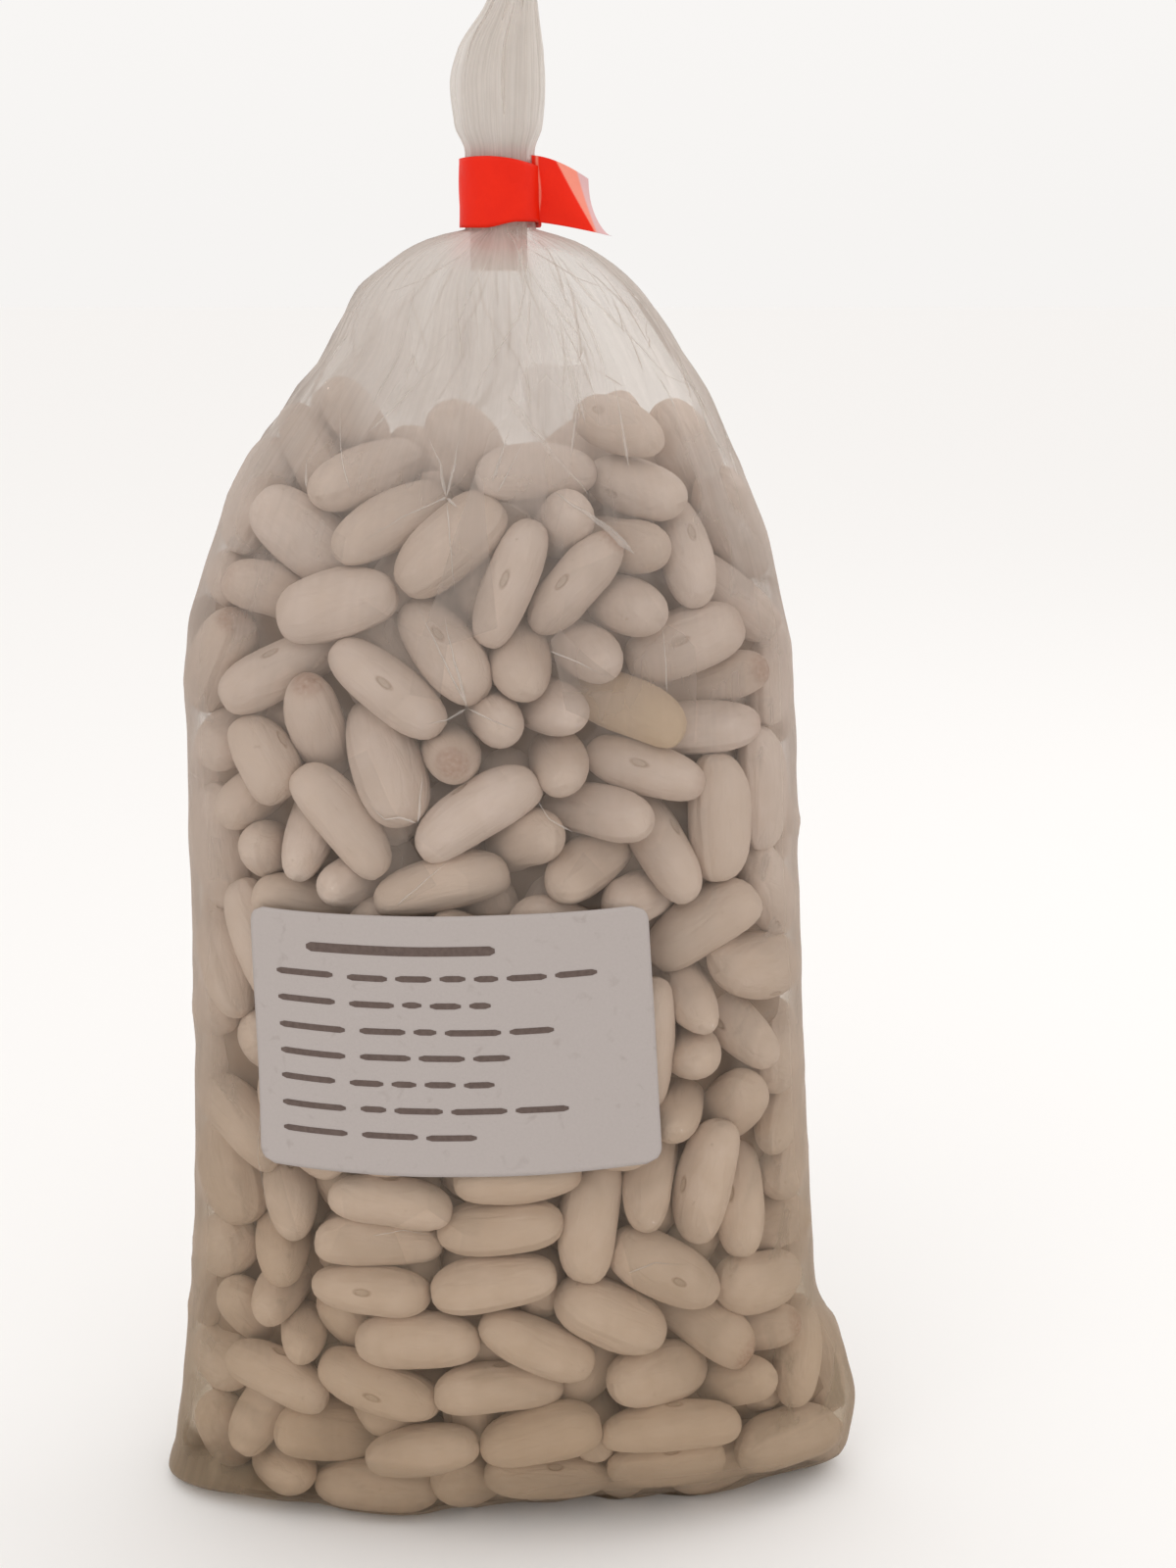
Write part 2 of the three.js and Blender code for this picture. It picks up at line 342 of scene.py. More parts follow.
# the beans: rigid kidneys, packed by pushing overlaps apart while they sink

beans = {
    "seed": 11,
    "length": 20.2, "lengthSpread": 0.1,
    "width": 11, "widthSpread": 0.07,
    "thickness": 9.5, "thicknessSpread": 0.07,
    "widths": (9, 11.8),     # of those placed by the picture, which shows them a little narrower
    "widen": 1.04, "flatten": 0.88, "stretch": (0.94, 1.06),
    "yellowShare": 0.025, "stainShare": 0.12, "eyeShare": 0.85,
    "flatOnFilm": 0.5, "hollowOut": 0.28,      # shares of the placed ones that lie each way
    "slightRoll": 0.4, "sideRoll": (0.9, 1.5),
    "bend": (0.02, 0.34), "taper": 0.09,
    "girths": (0.86, 0.97, 1, 0.97, 0.86),   # a bean's thickness along its length, for packing
    "spacing": 12.2,       # of the loose lattice they start from
    "fillHeight": 190,
    "highest": 175,        # no bean's middle lies above this
    "hollow": 3.5,         # a hollow that takes a ball of this radius gets one more bean
    "sideHollow": 2.3,     # the same at the bag's sides, where light would come through
    "rounds": (620, 330),  # of packing, before and after the hollows are filled
    "sink": 0.04,          # how far a bean falls each round at first
    "coarseDepth": 13,     # beans further from the film than this are made with fewer faces
    "coreDepth": 15,       # further in still, one lumpy core stands for those that nothing shows of
    "coreMargin": 4.5,     # how far the core stays from the bag's sides
    "rings": 15, "sides": 22,
    "coarseRings": 9, "coarseSides": 12,
}

# the beans that lie against the film at the front, by their place in the picture: across, down, the
# turn of the long side above level in degrees, visible length and width, and what is odd about it
frontBeans = [
    (354, 427, -10, 82, 50), (632, 440, 80, 70, 60), (688, 446, 0, 52, 50), (472, 462, 80, 90, 78),
    (319, 472, 90, 90, 55), (363, 489, 90, 86, 66), (545, 500, 0, 125, 54), (652, 503, 90, 80, 64),
    (716, 491, -10, 80, 48), (262, 500, 75, 110, 52), (310, 545, -50, 95, 72), (401, 538, 25, 112, 62),
    (456, 561, 50, 134, 76), (566, 540, 0, 54, 52), (640, 562, 0, 50, 48), (690, 565, 80, 105, 50, "eye"),
    (344, 623, 25, 132, 72), (512, 605, 48, 139, 58), (583, 603, 55, 115, 56, "stained"),
    (643, 618, 0, 68, 64), (747, 612, -65, 95, 60), (288, 602, 0, 58, 54), (242, 652, 0, 88, 62, "stained"),
    (449, 669, -58, 128, 72), (531, 670, 60, 78, 64), (602, 668, 0, 64, 60), (691, 661, 40, 106, 76),
    (777, 680, 90, 80, 60), (282, 695, 15, 118, 60, "eye"), (411, 697, -30, 142, 66),
    (735, 695, 0, 50, 48, "stained"), (313, 743, 55, 120, 62, "stained"), (243, 747, 0, 90, 58),
    (499, 747, 0, 60, 58), (553, 723, 55, 66, 60), (633, 727, 0, 100, 62, "yellow"), (718, 746, 10, 80, 54),
    (782, 752, -70, 86, 54), (388, 782, -70, 130, 80), (453, 777, 0, 64, 62, "stained"),
    (570, 780, 0, 72, 60), (671, 784, -15, 105, 60, "eye"), (266, 804, -50, 90, 58),
    (366, 828, -55, 140, 60), (482, 826, 38, 145, 64), (619, 824, 0, 86, 58), (730, 840, -60, 130, 70),
    (769, 808, -65, 100, 58), (321, 840, -40, 90, 54), (538, 859, 0, 82, 62), (604, 881, 25, 98, 62),
    (679, 857, -75, 88, 52, "eye"), (271, 869, -5, 98, 58), (366, 898, 90, 62, 56), (449, 903, 0, 130, 58),
    (313, 918, 0, 96, 56), (643, 915, 0, 96, 58), (714, 940, 45, 95, 66), (780, 888, -60, 86, 54),
    (230, 920, 80, 90, 54), (702, 1012, 0, 80, 56), (756, 1040, 80, 92, 56),
    (706, 1070, -12, 90, 60, "eye"), (795, 970, 80, 95, 54), (757, 1130, -30, 95, 62),
    (690, 1128, 20, 80, 56), (800, 1110, 80, 96, 54), (228, 1060, 85, 100, 56), (400, 1225, 0, 130, 54),
    (524, 1200, 0, 132, 56), (296, 1212, -30, 96, 60), (600, 1240, 82, 112, 62), (655, 1215, 70, 96, 50),
    (712, 1205, 80, 130, 62), (757, 1212, 55, 100, 54), (285, 1260, -5, 96, 60), (390, 1272, 0, 112, 54),
    (505, 1255, 0, 128, 60), (770, 1258, 50, 76, 58), (796, 1290, 30, 84, 56), (680, 1292, -12, 122, 70),
    (381, 1316, 0, 122, 56), (502, 1307, 0, 130, 60), (297, 1310, 0, 72, 54), (627, 1340, -20, 126, 74),
    (716, 1350, -30, 80, 58, "stained"), (770, 1342, 0, 54, 50, "stained"), (262, 1345, 75, 92, 54),
    (318, 1355, 0, 82, 54), (424, 1370, 0, 130, 62), (548, 1368, 0, 126, 60),
    (803, 1370, 72, 104, 50, "eye"), (238, 1300, 80, 90, 54), (838, 1385, 65, 96, 52),
    (742, 1393, 0, 62, 56), (660, 1398, 0, 108, 62), (390, 1412, -15, 126, 60), (515, 1415, 0, 120, 52),
    (282, 1420, 60, 92, 56), (335, 1447, -50, 90, 68), (690, 1447, 0, 150, 54), (553, 1452, 0, 122, 60),
    (800, 1455, 10, 100, 60), (437, 1474, 0, 122, 54), (235, 1450, 20, 90, 56), (675, 1492, 0, 122, 52),
    (306, 1492, 10, 96, 54), (560, 1500, 0, 120, 50),
]


def turned(frames, spins):
    # the frames after a small turn given by each spin vector, kept square
    x = unit(frames[:, :, 0] + np.cross(spins, frames[:, :, 0]))
    y = frames[:, :, 1] + np.cross(spins, frames[:, :, 1])
    y = unit(y - x * np.sum(x * y, -1, keepdims=True))
    return np.stack([x, y, np.cross(x, y)], -1)


def frameFor(aim, flat):
    # a bean's length, width and thickness directions; flat is the way it is thinnest
    side = unit(np.cross(flat, aim))
    return np.stack([aim, side, np.cross(aim, side)], -1)


def placedBeans(rng):
    # the front beans' centres, directions and traits, read off the picture on to the film
    centres, frames, traits = [], [], []
    for across, down, turn, length, width, *odd in frontBeans:
        stretch = rng.uniform(*beans["stretch"])
        depth = camera["distance"] - bag["bodyDepth"] / 2
        for _ in range(2):
            scale = focal / depth
            wide = float(np.clip(beans["widen"] * width / scale, *beans["widths"]))
            long = max(beans["length"] * stretch, length / scale)
            level = min(max(((length / scale) ** 2 - wide ** 2) / (long ** 2 - wide ** 2), 0), 1)
            inset = math.hypot(long / 2 * math.sqrt(1 - level), 0.43 * wide * math.sqrt(level))
            point, out, depth = underFilm(across, down, inset)
        angle = math.radians(turn)
        inView = math.cos(angle) * viewSide + math.sin(angle) * viewUp
        along = unit(inView - out * float(inView @ out))
        slant = math.acos(math.sqrt(level)) * (1 if "stained" in odd else rng.choice((-1, 1)))
        aim = along * math.cos(slant) + out * math.sin(slant)
        flat = unit(out - aim * float(out @ aim) + 1e-6)

        # most beans lie flat on the film, some show their hollow side with the eye, some their back
        kind = 0.6 if "eye" in odd else rng.uniform(0, 1)
        if kind < beans["flatOnFilm"]:
            roll = rng.uniform(-beans["slightRoll"], beans["slightRoll"])
        else:
            roll = rng.uniform(*beans["sideRoll"])
            roll *= 1 if kind < beans["flatOnFilm"] + beans["hollowOut"] else -1
        flat = flat * math.cos(roll) + np.cross(aim, flat) * math.sin(roll)
        stain = 1 if "stained" in odd else rng.uniform(0.3, 0.7) * (rng.uniform(0, 1) < 0.1)
        centres.append(point)
        frames.append(frameFor(aim, flat))
        traits.append((long, wide, wide * beans["flatten"], float("yellow" in odd), stain))
    return np.array(centres), np.array(frames), np.array(traits)


def looseTraits(rng, count):
    # length, width, thickness, how yellow, and how stained at one end
    return np.stack([
        beans["length"] * np.clip(rng.normal(1, beans["lengthSpread"], count), 0.72, 1.2),
        beans["width"] * np.clip(rng.normal(1, beans["widthSpread"], count), 0.8, 1.2),
        beans["thickness"] * np.clip(rng.normal(1, beans["thicknessSpread"], count), 0.82, 1.15),
        (rng.uniform(0, 1, count) < beans["yellowShare"]) * rng.uniform(0.5, 1, count),
        (rng.uniform(0, 1, count) < beans["stainShare"]) * rng.uniform(0.4, 1, count),
    ], -1)


def looseBeans(rng, placed):
    # the rest on a jittered lattice that fills the bag, clear of the placed ones
    step = beans["spacing"]
    x, y, z = np.meshgrid(np.arange(-66, 67, step), np.arange(-33, 34, step),
                          np.arange(6, beans["fillHeight"], step * 0.82), indexing="ij")
    centres = np.stack([x, y, z], -1).reshape(-1, 3)
    layer = np.round((centres[:, 2] - 6) / (step * 0.82)).astype(int)
    centres[:, :2] += (layer % 2)[:, None] * step / 2
    centres += rng.uniform(-0.2, 0.2, centres.shape) * step
    away, outward = wallDistance(centres)
    apart = np.linalg.norm(centres[:, None] - placed[None], axis=-1).min(1)
    keep = (away < -4.2) & (apart > 8.6)
    centres, away, outward = centres[keep], away[keep], outward[keep]
    count = len(centres)

    # near the film a bean lies along it, level low down and any way round higher up
    wild = smoothStep(35, 110, centres[:, 2])
    level = unit(np.cross(outward, [0, 0, 1]) + 1e-6)
    rise = np.cross(outward, level)
    turn = rng.normal(0, 0.22 + 0.85 * wild)
    aim = level * np.cos(turn)[:, None] + rise * np.sin(turn)[:, None]
    stray = (0.12 + 0.45 * wild + smoothStep(-9, -16, away))[:, None]
    aim = unit(aim + stray * rng.normal(0, 0.6, (count, 3)))
    frames = frameFor(aim, unit(outward + rng.normal(0, 0.35, (count, 3))))
    return centres, frames, looseTraits(rng, count)


def nearPairs(points, owner, reach):
    # pairs of balls of different beans that are closer than reach
    cell = np.floor(points / reach).astype(int)
    cell -= cell.min(0) - 1
    size = cell.max(0) + 2
    key = (cell[:, 0] * size[1] + cell[:, 1]) * size[2] + cell[:, 2]
    order = np.argsort(key, kind="stable")
    ordered = key[order]
    firsts, seconds = [], []
    for dx, dy, dz in product((-1, 0, 1), repeat=3):
        wanted = key + (dx * size[1] + dy) * size[2] + dz
        start = np.searchsorted(ordered, wanted, "left")
        count = np.searchsorted(ordered, wanted, "right") - start
        shift = np.arange(count.sum()) - np.repeat(np.cumsum(count) - count, count)
        firsts.append(np.repeat(np.arange(len(points)), count))
        seconds.append(order[np.repeat(start, count) + shift])
    a, b = np.concatenate(firsts), np.concatenate(seconds)
    keep = (a < b) & (owner[a] != owner[b])
    a, b = a[keep], b[keep]
    close = np.sum((points[a] - points[b]) ** 2, -1) < reach ** 2
    return a[close], b[close]


def ballPlaces(traits):
    # five balls along each bean's length stand for it while it is packed
    radius = (traits[:, 1] + traits[:, 2])[:, None] / 4 * np.array(beans["girths"])
    offsets = np.zeros((len(traits), 5, 3))
    offsets[..., 0] = np.linspace(-1, 1, 5) * (traits[:, :1] / 2 - radius[:, :1])
    return offsets, radius


def settle(centres, frames, traits, home, rounds, sink, firmness):
    # push overlaps apart while the beans sink, and draw the placed ones back home less and less firmly
    offsets, radius = ballPlaces(traits)
    count, held = len(centres), len(home[0])
    owner = np.repeat(np.arange(count), 5)
    reach = 2 * radius.max() + 1.5
    r = radius.ravel()
    lever = np.sum(offsets ** 2, (1, 2)) + 5 * (0.4 * radius[:, 2]) ** 2
    for turnCount in range(rounds):
        share = turnCount / rounds
        arms = np.einsum("nij,nkj->nki", frames, offsets)
        balls = (centres[:, None] + arms).reshape(-1, 3)
        if turnCount % 12 == 0:
            a, b = nearPairs(balls, owner, reach)
        gap = balls[b] - balls[a]
        dist = np.maximum(np.linalg.norm(gap, axis=-1), 1e-6)
        over = r[a] + r[b] - dist
        hit = over > 0
        push = gap[hit] * (0.5 * over[hit] / dist[hit])[:, None]
        move = np.zeros_like(balls)
        for axis in range(3):
            move[:, axis] += np.bincount(b[hit], push[:, axis], len(balls))
            move[:, axis] -= np.bincount(a[hit], push[:, axis], len(balls))
        near, outward = wallDistance(balls)
        near += 1.1 * labelZone(balls, 4)
        move -= outward * np.maximum(near + r, 0)[:, None]
        move[:, 2] += np.maximum(r - balls[:, 2], 0)
        move = move.reshape(count, 5, 3)
        centres = centres + move.mean(1) * 1.35
        centres[held:, 2] -= sink * (1 - share) ** 2 if share < 0.8 else 0
        frames = turned(frames, np.sum(np.cross(arms, move), 1) / lever[:, None] * 1.1)
        hold = firmness * max(1 - share / 0.7, 0) ** 1.5
        centres[:held] += hold * (home[0] - centres[:held])
        pulled = frames[:held] + hold * (home[1] - frames[:held])
        frames[:held] = frameFor(unit(pulled[:, :, 0]), unit(pulled[:, :, 2]))
    print("beans settled:", count, "highest", round(float(centres[:, 2].max()), 1),
          "deepest overlap", round(float(over.max()), 2), "mean", round(float(over[hit].mean()), 3))
    return centres, frames


def roomAt(spots, balls, radii):
    # the radius of the largest ball at each spot that touches none of these
    room = np.full(len(spots), 99.0)
    for first in range(0, len(balls), 64):
        part = slice(first, first + 64)
        apart = np.linalg.norm(spots[:, None] - balls[None, part], axis=-1) - radii[part]
        room = np.minimum(room, apart.min(1))
    return room


def fillHollows(rng, centres, frames, traits):
    # one more bean goes into each hollow that would show as a hole in the heap
    step = 4.4
    x, y, z = np.meshgrid(np.arange(-62, 63, step), np.arange(-30, 31, step),
                          np.arange(5, beans["highest"] - 6, step), indexing="ij")
    spots = np.stack([x, y, z], -1).reshape(-1, 3)
    spots += rng.uniform(-0.4, 0.4, spots.shape) * step
    wall, outward = wallDistance(spots)
    keep = wall < -beans["sideHollow"] - 0.4
    spots, wall, outward = spots[keep], wall[keep], outward[keep]
    offsets, radius = ballPlaces(traits)
    balls = (centres[:, None] + np.einsum("nij,nkj->nki", frames, offsets)).reshape(-1, 3)
    radii = radius.ravel()
    room = np.minimum(roomAt(spots, balls, radii), -wall)
    left, right, _, _, _ = section(spots[:, 2])
    across = np.abs(spots[:, 0] - (right - left) / 2) / ((left + right) / 2)
    needed = beans["hollow"] + (beans["sideHollow"] - beans["hollow"]) * smoothStep(0.6, 0.78, across)
    while (room - needed).max() > 0:
        best = int((room - needed).argmax())
        ways = unit(rng.normal(0, 1, (40, 3)))
        ends = np.concatenate([spots[best] + 6 * ways, spots[best] - 6 * ways])
        free = np.minimum(roomAt(ends, balls, radii), -wallDistance(ends)[0]).reshape(2, -1).min(0)
        aim = ways[int(free.argmax())]
        frame = frameFor(aim, unit(outward[best] - aim * float(outward[best] @ aim) + 1e-6))
        trait = looseTraits(rng, 1)
        trait[0, :3] *= 0.9
        offsets, radius = ballPlaces(trait)
        added = spots[best] + offsets[0] @ frame.T
        balls, radii = np.concatenate([balls, added]), np.concatenate([radii, radius[0]])
        room = np.minimum(room, roomAt(spots, added, radius[0]))
        centres = np.concatenate([centres, spots[best][None]])
        frames = np.concatenate([frames, frame[None]])
        traits = np.concatenate([traits, trait])
    return centres, frames, traits


def packBeans():
    rng = np.random.default_rng(beans["seed"])
    placed = placedBeans(rng)
    loose = looseBeans(rng, placed[0])
    centres, frames, traits = (np.concatenate(pair) for pair in zip(placed, loose))
    held = len(placed[0])
    centres, frames = settle(centres, frames, traits, placed, beans["rounds"][0], beans["sink"], 0.5)
    keep = (centres[:, 2] < beans["highest"]) | (np.arange(len(centres)) < held)
    centres, frames, traits = fillHollows(rng, centres[keep], frames[keep], traits[keep])
    centres, frames = settle(centres, frames, traits, placed, beans["rounds"][1], 0, 0.3)
    return centres, frames, traits


def beanForms(traits, rings, sides, rng):
    # points of each bean about its own middle, and what the seed coat shows there
    polar = np.linspace(0, math.pi, rings + 1)[1:-1]
    around = np.linspace(0, 2 * math.pi, sides, endpoint=False)
    t, phi = np.meshgrid(polar, around, indexing="ij")
    t = np.concatenate([[0], t.ravel(), [math.pi]])
    phi = np.concatenate([[0], phi.ravel(), [0]])
    along = np.sign(np.cos(t)) * np.abs(np.cos(t)) ** 0.86
    thick = np.sin(t) ** 0.72
    count = len(traits)
    a, b, c = (traits[:, i:i + 1] / 2 for i in range(3))
    bend = rng.uniform(*beans["bend"], (count, 1)) ** 1.1
    taper = rng.uniform(-beans["taper"], beans["taper"], (count, 1))
    dents = 0
    for k in range(4):
        depth = rng.uniform(0.004, 0.018, (count, 1))
        dents = dents + depth * np.sin(rng.uniform(2, 6.8, (count, 1)) * along + k * phi
                                       + rng.uniform(0, 6.3, (count, 1)))
    swell = thick * (1 + taper * along + dents)
    waist = 1 - 0.5 * bend * (1 - along ** 2) * np.maximum(np.cos(phi), 0)
    x = a * along
    y = b * (swell * np.cos(phi) * waist - bend * (along ** 2 - 0.3))
    z = c * swell * np.sin(phi)
    ends = smoothStep(0.78, 1.0, along)
    return np.stack([x, y, z], -1), along, ends


def beanPiece(name, chosen, rings, sides, rng):
    centres, frames, traits = chosen
    forms, along, ends = beanForms(traits, rings, sides, rng)
    points = centres[:, None] + np.einsum("nij,nkj->nki", frames, forms)
    points[..., 2] = np.maximum(points[..., 2], 0.4)    # flat where they rest
    quads = gridFaces(rings - 1, sides) + 1
    last = 1 + (rings - 1) * sides
    j = np.arange(sides)
    capLow = np.stack([0 * j, 1 + (j + 1) % sides, 1 + j], -1)
    capHigh = np.stack([0 * j + last, last - sides + j, last - sides + (j + 1) % sides], -1)
    tris = np.concatenate([capLow, capHigh])
    per = forms.shape[1]
    count = len(centres)
    shift = (np.arange(count) * per)[:, None, None]
    faces = (quads[:, ::-1] + shift).reshape(-1, 4).tolist()
    faces += (tris[:, ::-1] + shift).reshape(-1, 3).tolist()
    piece = meshPiece(name, points.reshape(-1, 3), faces)
    whole = np.ones_like(along)
    tone = rng.uniform(0, 1, (count, 1)) * whole
    yellow, stain = traits[:, 3:4] * whole, traits[:, 4:5] * ends
    eye = (rng.uniform(0, 1, (count, 1)) < beans["eyeShare"]) * whole
    paintPoints(piece, "seedCoat", np.stack([tone, stain, eye, yellow], -1).reshape(-1, 4))
    paintPoints(piece, "grain", forms + rng.uniform(0, 400, (count, 1, 3)))
    paintPoints(piece, "beanPlace", forms)
    return piece


def corePiece():
    # the middle of the heap, so that no light comes straight through: flat, and nearly as wide as the bag
    angles = evenAngles(80)[None]
    heights = np.linspace(5, heapTop - 12, 60)[:, None]
    left, right, depth, _, _ = section(heights)
    ends = np.clip(np.minimum(heights - heights[0], heights[-1] - heights) / 12, 0, 1)
    dome = 0.15 + 0.85 * np.sqrt(1 - (1 - ends) ** 2)
    lumps = np.sin(heights / 3.1 + 2 * np.sin(3 * angles)) * np.sin(7 * angles + heights / 5)
    halfWidth = ((left + right) / 2 - beans["coreMargin"]) * dome + lumps
    halfThick = np.maximum(depth - beans["coreDepth"], 2.5) * dome + lumps
    points = np.stack([(right - left) / 2 + halfWidth * np.sin(angles), -halfThick * np.cos(angles),
                       heights + 0 * angles], -1)
    rows, columns = points.shape[:2]
    faces = gridFaces(rows, columns).tolist() + [list(range(columns))[::-1]]
    faces += [[(rows - 1) * columns + i for i in range(columns)]]
    return meshPiece("beanCore", points.reshape(-1, 3), faces)


packed = packBeans()
away, _ = wallDistance(packed[0])
heapTop = float(np.percentile(packed[0][:, 2], 99.5))
near = (away > -beans["coarseDepth"]) | (packed[0][:, 2] > heapTop - 22) | (packed[0][:, 2] < 14)
inside = ~near & (away > -beans["coreDepth"] - 7)
formSeed = np.random.default_rng(beans["seed"] + 1)
beanHeap = beanPiece("beans", [part[near] for part in packed], beans["rings"], beans["sides"], formSeed)
innerHeap = beanPiece("innerBeans", [part[inside] for part in packed],
                      beans["coarseRings"], beans["coarseSides"], formSeed)
beanCore = corePiece()
print("beans made:", int(near.sum()), "near the film and", int(inside.sum()), "inside")


# the film: a fine grid on the bag's outline, drawn in until it lies on the beans

film = {
    "columns": 300,
    "rowStep": 0.87, "neckRows": 9, "tailRowStep": 0.8, "undersideRows": 9,
    "rayStart": 9, "reach": 13,    # how far outside and inside the outline it looks for a bean
    "slack": 0.12,       # between the film and a bean that it touches
    "pull": 0.006,       # how hard the film is drawn in between beans
    "stiffness": 0.012,  # how hard it keeps the bag's own outline
    "settle": 700,
    "crumple": 0.3, "facets": 9, "facetSizes": (9, 26), "facetWave": 2.2,
    "pleats": 64, "pleatDepth": 1.1, "pleatWidth": (0.022, 0.06), "pleatReach": (158, 190),
    "tailFolds": (9, 14, 19, 25), "tailFoldDepth": 0.8,
    "underLabel": -0.3,  # how far the film lies in under the label
    "girth": 38,         # radius of the tube that the film is laid flat on for its streaks
    "seed": 5,
}

# how milky the film is, from 0 to 1, before its streaks and clouds
milkiness = {
    "onBeans": 0.04, "higherUp": 0.18, "lowDown": 0.08, "standingOff": 0.14,
    "margin": 0.04, "marginOff": 0.3, "marginGap": 0.35,
    "leftOfCone": 0.48, "rightOfCone": 0.16, "pleats": 0.1,
    "bottom": 0.2, "underside": 0.1, "tail": 0.6, "tailInside": 0.3,
    "fold": 0.55, "broadFold": 0.3,
    # the folds' near white is a painted highlight along them
    "whiteCone": 0.55, "whiteTail": 0.45, "foldHighlight": 0.9, "paintedTapeReflection": 0.5,
}

# the film's sharp folds, by their places in the picture: half width, and the line across and down
folds = [
    # down from the neck
    (0.55, [(534, 250), (529, 278), (534, 296)]),
    (0.28, [(540, 262), (530, 322), (494, 380), (470, 440)]),
    (0.22, [(500, 262), (482, 294), (469, 326), (440, 358)]),
    (0.22, [(541, 300), (538, 351), (549, 380)]),
    (0.22, [(556, 262), (582, 314), (603, 358), (612, 392)]),
    (0.3, [(566, 256), (600, 300), (648, 348), (680, 383), (705, 394)]),
    (0.22, [(478, 256), (430, 286), (392, 300)]),
    (0.4, [(690, 360), (711, 402), (724, 440), (746, 472)]),
    (0.3, [(700, 383), (724, 421), (740, 452)]),
    (0.35, [(421, 362), (416, 380), (412, 399)]), (0.25, [(421, 363), (427, 382)]),
    # two broad ones over the top beans
    (0.8, [(518, 402), (536, 430), (555, 453), (580, 480), (603, 508)]),
    (0.7, [(648, 566), (630, 548), (603, 527), (566, 502)]),
    # stars, each from its middle outwards
    (0.34, [(455, 508), (449, 474), (437, 447)]), (0.34, [(455, 508), (463, 476), (469, 447)]),
    (0.4, [(455, 508), (467, 518)]), (0.35, [(455, 508), (446, 511)]),
    (0.18, [(456, 512), (459, 550), (464, 604)]), (0.15, [(455, 508), (410, 528), (372, 552)]),
    (0.3, [(477, 723), (465, 680), (453, 629)]), (0.2, [(477, 723), (451, 670), (425, 617)]),
    (0.25, [(477, 723), (456, 735), (435, 739)]), (0.2, [(477, 723), (502, 735), (527, 745)]),
    (0.3, [(426, 841), (429, 815), (431, 790)]), (0.25, [(426, 841), (408, 834), (392, 836), (378, 820)]),
    (0.2, [(404, 925), (430, 903), (461, 876)]), (0.18, [(681, 708), (679, 672), (676, 636)]),
    (0.2, [(560, 664), (590, 676), (618, 690)]), (0.15, [(585, 850), (560, 836), (545, 812)]),
    (0.15, [(380, 1262), (412, 1256), (440, 1262)]), (0.15, [(640, 1300), (668, 1287), (700, 1290)]),
    (0.15, [(270, 1090), (262, 1180), (276, 1250)]),
]
foldRise = 0.7     # how steep a fold is, as height to half width
foldStep = 0.45    # between points along a fold
# more of them at random near the neck
smallFolds = {"count": 70, "lowest": 172, "length": (4, 17), "width": (0.12, 0.35), "seed": 21}

# each fold's side of the bag, half width and line; the back has the same ones from right to left
drawnFolds = []
for width, places in folds:
    path = np.array([underFilm(*place)[0] for place in places])
    drawnFolds += [(-1, width, path), (1, width, path * (-1, -1, 1))]


def foldDistances(points):
    # each straight bit of a fold: its half width, and how far the points on its side of the bag lie from it
    x, y, z = np.moveaxis(points, -1, 0)
    for side, width, path in drawnFolds:
        for (startX, _, startZ), (endX, _, endZ) in zip(path[:-1], path[1:]):
            dx, dz = endX - startX, endZ - startZ
            share = np.clip(((x - startX) * dx + (z - startZ) * dz) / (dx * dx + dz * dz), 0, 1)
            away = np.hypot(x - startX - share * dx, z - startZ - share * dz)
            yield width, np.where(y * side > 0, away, 99)


def layFlat(piece, angles, heights, facets, normals):
    # what the film's material reads: its place on the film laid flat, so that streaks gather towards the
    # neck, how near the folds are, where facets get a painted reflection, and which way the bag's own
    # outline faces
    across, deep = (film["girth"] * turn(angles) + 0 * heights for turn in (np.sin, np.cos))
    paintPoints(piece, "laidFlat", np.stack([across, deep, heights], -1))
    paintPoints(piece, "bagNormal", normals)
    paintPoints(piece, "facets", facets)


def pleatRelief(angles, heights):
    # gathers that run down from the neck, each with its own place, width and reach
    rng = np.random.default_rng(film["seed"])
    z = heights[:, None]
    relief = 0
    for i in range(film["pleats"]):
        middle = 2 * math.pi * (i + rng.uniform(-0.4, 0.4)) / film["pleats"]
        width = rng.uniform(*film["pleatWidth"])
        reach = rng.uniform(*film["pleatReach"])
        depth = film["pleatDepth"] * rng.uniform(0.3, 1)
        lean = rng.uniform(-0.25, 0.25)
        drift = middle + lean * (neckBase - z) / 50
        apart = np.abs((angles[None] - drift + math.pi) % (2 * math.pi) - math.pi)
        run = smoothStep(reach, reach + 14, z) * (1 - 0.75 * smoothStep(neckBase - 12, neckBase, z))
        relief = relief + depth * np.maximum(1 - apart / width, 0) * run
    return relief


def crumpleRelief(points):
    # the stiff film buckles into flat facets that meet in faint ridges
    rng = np.random.default_rng(film["seed"] + 1)
    relief = 0
    for _ in range(film["facets"]):
        direction = unit(rng.normal(0, 1, 3) * (1, 1, 0.8))
        length = rng.uniform(*film["facetSizes"])
        wave = np.sin(points @ unit(rng.normal(0, 1, 3)) / 7 + rng.uniform(0, 6))
        bent = points @ direction + film["facetWave"] * wave
        relief = relief + np.abs((bent / length + rng.uniform(0, 1)) % 1 - 0.5) * 2 - 0.5
    return relief / 3


def tailRelief(angles, z):
    # the gathered tail: narrow folds that run along it
    rng = np.random.default_rng(film["seed"] + 2)
    depth = sum(
        rng.uniform(0.15, 0.4) * np.abs(np.sin(k / 2 * angles[None] + rng.uniform(0, 6) + rng.uniform(-1, 1)
                                               * np.sin(z / rng.uniform(5, 11))))
        for k in film["tailFolds"]
    )
    share = smoothStep(tailBase - 1, tailBase + 6, z) * (1 - 0.6 * smoothStep(top - 8, top, z))
    return film["tailFoldDepth"] * share * depth


